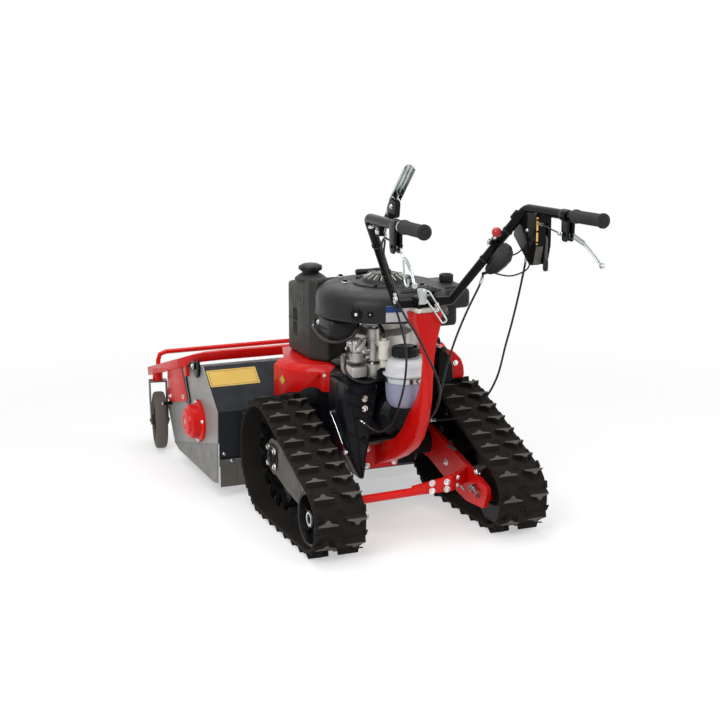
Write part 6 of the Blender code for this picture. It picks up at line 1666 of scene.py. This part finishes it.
def build_handlebar():
    """Bent tube with its cross piece, plus the two slotted lever brackets and their clamps."""
    parts = [bent(half_tube(-1) + [(-.03, -.402, .717), (.03, -.402, .717)] + half_tube(1)[::-1], .0135,
        BLACK, 6)]
    for side in (-1, 1):
        x = side * .25
        slot_sides = []
        profile = [(-.787, 1.01), (-.751, 1.009), (-.754, .944), (-.762, .93), (-.778, .93), (-.785, .944)]
        for low, high in ((x - .0118, x - .005), (x + .005, x + .0118)):
            slot_sides.append(cut_plate(rounded(profile, .004, 3, True), low, high, GLOSS_PLASTIC,
                edge=.0016, steps=3))
        spine = block((x - .009, -.761, .932), (x + .009, -.7512, 1.0), BLACK, .0015)
        clamp = turned(both_ways([(.0136, -.0165), (.016, -.0168), (.0166, -.0155)]), BLACK,
            (x - side * .006, -.769, 1.0), "Y", 32, ring=True)
        parts += slot_sides + [spine, clamp]
    ear = block((-.23, -.62, .95), (-.2155, -.586, .998), BLACK, .0025)
    pin = rod((-.23, -.604, .962), (-.209, -.604, .962), .005, STEEL, 18, .0006)
    mount = block((.1533, -.515, .887), (.18, -.493, .903), BLACK, .002)
    strap = turned(hoop(.0136, .016, .012), BLACK, sides=28, ring=True)
    stood(strap, mirrored((.2205, -.537, .967), 1), (-.46, .46, -.83))
    fixed("handlebar_tube", "black_paint", *parts, ear, pin, mount, strap, stands_for=["handlebar"])
    heads = []
    for side in (-1, 1):
        x = side * .25
        heads.append(bolts(.0042, (-1, 0, 0), [(x - .0118, -.771, .948)], BLACK))
        heads.append(bolts(.0042, (1, 0, 0), [(x + .0118, -.771, .948)], BLACK))
    heads.append(bolts(.0056, (-1, 0, 0), [(-.2302, -.604, .962)]))
    heads.append(bolts(.0058, (-.38, -.9, .23), [(-.2286, -.5545, .97)]))
    fixed("handlebar_bolts", "bright_steel", *heads)
    rings = []
    for side in (-1, 1):
        place = mirrored((.2495, -.806, 1.0026), side)
        ring = turned(hoop(.0137, .0158, .0035), ZINC, sides=28, ring=True)
        stood(ring, place, mirrored((.015, -.392, .017), side))
        rings.append(ring)
    fixed("bracket_rings", "zinc_plate", *rings)


def build_grips():
    """Rubber grips: end flange, ribbed barrel, start ring and stepped end plug."""
    for word, side in SIDES:
        profile = [(0, 0), (.006, 0), (.0064, .0012), (.011, .0012), (.0114, .0002), (.0185, .0004),
            (.02, .0018), (.02, .0068), (.0188, .0082), (.0172, .009)]
        height = .012
        while height < .124:
            profile += [(.0166, height), (.0171, height + .001), (.0171, height + .003),
                (.0166, height + .004)]
            height += .0056
        profile += [(.017, .127), (.019, .129), (.019, .136), (.0176, .1378), (.0138, .138), (0, .138)]
        grip = turned(profile, GRIP_RUBBER, sides=36)
        start_point = mirrored(GRIP_REAR, side)
        stood(grip, start_point, mirrored(BEND_REAR, side) - start_point)
        fixed(word + "_rubber_grip", "grip_rubber", grip, stands_for=[word + "_grip"], smooth=50)


def build_hand_levers():
    """Hand levers: a wire bow round a thin web, with a ball tip, a pivot eye and a catch wire."""
    far = [(0.0, 0.0), (-.036, -.001), (-.09, -.012), (-.128, -.028), (-.178, -.055)]
    near = [(0.0, 0.0), (-.03, -.003), (-.07, -.016), (-.1, -.032), (-.128, -.062)]
    for word, side, droop, centre in (("left", -1, 9.0, near), ("right", 1, 0.0, far)):
        x, tilt = side * .25, radians(droop)
        placed = [(x, -.771 + a * cos(tilt) - b * sin(tilt), .948 + a * sin(tilt) + b * cos(tilt)) for a,
            b in centre]
        line = rounded(placed, .05, 5)
        upper, lower = [], []
        for index, (_, y, z) in enumerate(line):
            before, after = line[max(index - 1, 0)], line[min(index + 1, len(line) - 1)]
            way = Vector((0, after[1] - before[1], after[2] - before[2])).normalized()
            half = .0062 - .002 * index / len(line)
            upper.append((x, y - way.z * half, z + way.y * half))
            lower.append((x, y + way.z * half, z - way.y * half))
        bow = [bent(upper, .002, ZINC, 3), bent(lower, .002, ZINC, 3)]
        web = cut_plate([point[1:] for point in upper + lower[::-1]], x - .0009, x + .0009, ZINC)
        tip = Vector(line[-1])
        ball = turned([(0, -.0058), (.0052, -.0056), (.0074, -.004), (.0078, 0), (.0074, .004),
            (.0052, .0056), (0, .0058)], ZINC, tip, "X", 28)
        eye = turned(both_ways([(0, -.0042), (.007, -.0042), (.0078, -.0034)]), ZINC, (x, -.771, .948), "X",
            28)
        parts = [*bow, web, ball, eye]
        if side < 0:
            parts.append(bent(route([(x, -.8, .942), (x, -.816, .93), (x, -.82, .9), (x, -.826, .868),
                (x, -.838, .856), (x, -.848, .862), (x, -.846, .876)], .004), .0024, ZINC, 3))
        finished(word + "_brake_lever", word + "_hand_lever", "zinc_plate", *parts,
            stands_for=[word + "_hand_lever"])


def build_clutch_lever():
    """Long lever: flat arm with a saw-edged catch, dark cam lump and a half-round pressed handle."""
    arm = cut_plate(arc((-.604, .962), .013, 38, -142, 14) + [(-.702, 1.068), (-.686, 1.08)], -.215, -.211,
        ZINC, edge=.0006)
    first, last = Vector((-.213, -.678, 1.05)), Vector((-.213, -.772, 1.142))
    along = (last - first).normalized()
    up = along.cross(Vector((1, 0, 0)))
    shell = cut_plate(arc((0, 0), .017, 0, 180, 24) + arc((0, 0), .015, 180, 0, 24), 0,
        (last - first).length, ZINC, axis="Z", edge=.0005, steps=1)
    crease = bent([(0.0, .0168, .004), (0.0, .0168, .126)], .001, ZINC, 2)
    handle = together(shell, crease)
    handle.data.transform(moved(first) @ Matrix((Vector((1, 0, 0)), up, along)).transposed().to_4x4())
    low, way, out = Vector((-.604, .956)), Vector((-.58, .815)), Vector((.815, .58))
    saw = [low + way * a + out * b for a, b in ((0, -.004), (.01, -.011), (.098, -.008), (.104, 0.0))]
    for k in range(8):
        saw.append(low + way * (.098 - .011 * k) + out * .0135)
        saw.append(low + way * (.091 - .011 * k) + out * .0105)
    catch = cut_plate([tuple(point) for point in saw], -.2195, -.2172, ZINC, edge=.0004, steps=1)
    lump = cut_plate(rounded([(-.652, .998), (-.64, 1.03), (-.664, 1.06), (-.7, 1.052), (-.694, 1.01)], .01,
        5, True), -.2205, -.2055, GLOSS_PLASTIC, edge=.0022, steps=3)
    rivet = bolts(.0044, (-1, 0, 0), [(-.2205, -.672, 1.036), (-.2195, -.612, .968)])
    finished("clutch_hand_lever", "clutch_lever", "zinc_plate", arm, handle, catch, lump, rivet,
        stands_for=["clutch_lever"], smooth=40)


def build_shift_gate():
    """Gate box with its guide plate, amber scale strip, screws and grey foot."""
    outline = [(-.502, .909), (-.505, .931), (-.533, .976), (-.548, .9865), (-.633, .9865), (-.633, .898),
        (-.617, .842), (-.598, .84)]
    body = cut_plate(rounded(outline, .006, 3, True), .2282, .2758, BLACK)
    body = carve(body, block((.2588, -.64, .852), (.2652, -.545, .96), BLACK))
    body = carve(body, block((.2525, -.645, .82), (.2715, -.599, .886), BLACK))
    merge_flat(body)
    round_edges(body, .0014, 2, 40)
    strip = block((.229, -.634, .901), (.235, -.6326, .978), AMBER, .0004, 1)
    rail = cut_plate([(-.556, .9862), (-.6325, .9862), (-.6325, .9878), (-.556, .9878)], .2288, .2752, ZINC,
        edge=.0004, steps=1)
    foot = cut_plate([(-.6325, .896), (-.6338, .8963), (-.6184, .8436), (-.6171, .8433)], .23, .252,
        PLATE_GREY, edge=.0003, steps=1)
    fixed("gear_gate", "black_paint", body, strip, rail, foot, stands_for=["shift_gate"])
    marks = bolts(.004, (-1, 0, 0), [(.2281, -.583, .935)])
    small = bolts(.0022, (0, -1, 0), [(.232, -.6339, z) for z in (.97, .938, .908)], BLACK)
    fixed("gear_gate_screws", "bright_steel", marks, small)


def build_small_levers():
    """Shift lever with its black tip, throttle housing and lever, knob rod with its red ball."""
    outline = [(-.56, .916), (-.56, .93), (-.628, .926), (-.636, .918), (-.636, .85), (-.625, .85),
        (-.625, .912)]
    blade = cut_plate(rounded(outline, .004, 4, True), .2591, .2649, PLATE_GREY, edge=.0008)
    tip = turned([(0, .862), (.005, .8615), (.0062, .858), (.0075, .85), (.0075, .835), (.0068, .8285),
        (.0045, .8262), (0, .826)], PLASTIC, (.262, -.6305, 0), "Z", 28)
    hub = turned(both_ways([(0, -.004), (.0078, -.0038), (.0084, -.003)]), ZINC, (.262, -.566, .923), "X",
        28)
    hub.data.transform(moved((.262, 0, 0)) @ Matrix.Diagonal((.72, 1, 1, 1)) @ moved((-.262, 0, 0)))
    finished("gear_shift_lever", "shift_lever", "grey_paint", blade, tip, hub, stands_for=["shift_lever"])
    outline = [(-.564, .902), (-.595, .896), (-.608, .878), (-.596, .854), (-.564, .832), (-.524, .81),
        (-.484, .7985), (-.461, .806), (-.461, .818), (-.51, .864)]
    house = cut_plate(rounded(outline, .014, 5, True), .16, .1758, PLASTIC, edge=.005, steps=4)
    line = bent(route([(.1604, -.582, .878), (.1596, -.55, .866), (.1596, -.512, .838),
        (.1604, -.474, .81)], .006), .0008, PLATE_GREY, 2)
    saddle = block((.1605, -.5, .838), (.1752, -.476, .864), BLACK, .002, 2)
    from_house = rod((.1655, -.48, .806), (.163, -.446, .7955), .0046, PLASTIC, 18)
    fixed("throttle_case", "black_plastic", house, line, from_house, saddle)
    pivot = arc((-.5, .846), .012, -60, 120, 12)
    arm = cut_plate(pivot + rounded([pivot[-1], (-.54, .86), (-.542, .85), pivot[0]], .003, 3)[1:-1], .1764,
        .1803, PLASTIC, edge=.0006)
    tab = block((.1773, -.546, .849), (.1923, -.538, .862), PLASTIC, .0022, 2)
    finished("throttle_thumb_lever", "throttle_lever", "black_plastic", arm, tab,
        stands_for=["throttle_lever"])
    shaft = bent([(.15, -.499, .889), (.15, -.545, .925)], .003, STEEL, 4)
    turn = []
    for k in range(11):
        angle = PI * k / 10
        turn.append((max(0.0, .014 * sin(angle)), .014 * cos(angle)))
    ball = turned(turn, RED_PLASTIC, (.15, -.551, .93), "Z", 32)
    collar = turned([(.003, -.003), (.0052, -.0028), (.006, .0028), (.003, .004)], PLASTIC, sides=20,
        ring=True)
    stood(collar, (.15, -.54, .921), (0, -.79, .62))
    eye = turned([(0, -.0032), (.0062, -.003), (.0068, 0), (.0062, .003), (0, .0032)], ZINC,
        (.15, -.505, .895), "X", 20)
    finished("choke_knob", "knob_lever", "bright_steel", shaft, ball, collar, eye,
        stands_for=["knob_lever"])


def build_controls():
    build_clamp()
    build_lock_lever()
    build_handlebar()
    build_grips()
    build_hand_levers()
    build_clutch_lever()
    build_shift_gate()
    build_small_levers()


# ---------------- control cables

CABLE_STOPS = {"shift_cable": ((.247, -.548, .88), (.248, -.544, .85), (.252, -.502, .75),
    (.258, -.45, .65), (.262, -.405, .57), (.264, -.35, .46), (.246, -.3, .38), (.205, -.25, .322),
    (.15, -.152, .291), (.1187, -.1465, .29)), "throttle_cable": ((.163, -.45, .799), (.158, -.44, .765),
    (.118, -.44, .69), (.082, -.44, .61), (.058, -.435, .53), (.046, -.42, .45), (.044, -.37, .37),
    (.046, -.28, .326), (.046, -.2385, .322)), "clutch_cable": ((-.1117, -.4482, .7654),
    (-.104, -.436, .72), (-.08, -.42, .66), (-.058, -.41, .58), (-.056, -.4, .5), (-.064, -.385, .43),
    (-.066, -.33, .35), (-.092, -.29, .316), (-.122, -.246, .336), (-.124, -.2156, .34)),
    "steering_cable": ((-.1193, -.4559, .7792), (-.112, -.464, .742), (-.086, -.472, .69),
    (-.052, -.475, .636), (-.022, -.478, .576), (.006, -.474, .52), (.024, -.464, .47), (.026, -.44, .41),
    (.028, -.36, .35), (.029, -.28, .322), (.029, -.2385, .318)),}


def ferrule(at, way, finish=ZINC):
    """Crimped end sleeve with a rim; it stands at a place and points along the cable."""
    sleeve = turned([(.0033, -.01), (.0046, -.01), (.0048, -.0094), (.0048, -.003), (.0042, -.0022),
        (.0042, .004), (.005, .0048), (.005, .0072), (.0044, .008), (.0044, .011), (.0033, .011)], finish,
        sides=20, ring=True)
    stood(sleeve, at, way)
    return sleeve


def build_cables():
    """The four sheathed cables; each has a crimped sleeve at both ends."""
    for word, stops in CABLE_STOPS.items():
        line = route(stops, .01)
        sheath = bent(line, .0032, JACKET, 4)
        count = len(line)
        ends = []
        for index in (3, count - 4):
            way = Vector(line[index + 1]) - Vector(line[index - 1])
            ends.append(ferrule(line[index], way))
        fixed(word + "_sheath", "cable_jacket", sheath, *ends, stands_for=[word], smooth=60)


def build_loose_wires():
    """Thin wires between the gate, the throttle case and the bar, and the clips that hold them."""
    wires = [
        [(.24, -.588, .854), (.236, -.57, .822), (.214, -.53, .8), (.19, -.51, .8),
         (.17, -.5, .806)],
        [(.23, -.58, .9), (.218, -.58, .886), (.204, -.58, .874), (.188, -.585, .87),
         (.17, -.586, .866)],
        [(.234, -.76, .95), (.227, -.73, .956), (.229, -.67, .962), (.24, -.632, .96)],
        [(-.236, -.762, .948), (-.23, -.73, .94), (-.222, -.67, .946), (-.215, -.61, .942),
         (-.195, -.55, .898), (-.156, -.49, .836), (-.129, -.464, .792)],
        [(-.21, -.608, .956), (-.203, -.59, .93), (-.184, -.54, .884), (-.15, -.486, .822),
         (-.1215, -.458, .78)],
    ]
    made = [bent(route(stops, .01), radius, JACKET, 3) for stops, radius in zip(wires,
        (.0022, .0022, .002, .0028, .0028))]
    ends = [ferrule(wires[2][0], (.1, -1, .1)), ferrule((.237, -.644, .9606), (.3, 1, 0)),
        ferrule(wires[3][0], (.1, -1, .1)), ferrule((-.208, -.603, .949), (.2, .4, -.8))]
    fixed("control_wires", "cable_jacket", *made, *ends, smooth=60)
    clips = []
    tube = mirrored(CLAMP_END, 1) - BEND_REAR
    for side, share in ((-1, .3), (-1, .62), (1, .24), (1, .55)):
        place = mirrored(BEND_REAR + tube * share, side)
        clip = turned(hoop(.0136, .015, .003), PLASTIC, sides=24, ring=True)
        stood(clip, place, mirrored(tube, side))
        clips.append(clip)
    fixed("bar_clips", "black_plastic", *clips)


set_camera()
set_studio()
finish_cad_nodes()
build_running_gear()
build_engine()
build_deck()
build_controls()
build_cables()
build_loose_wires()
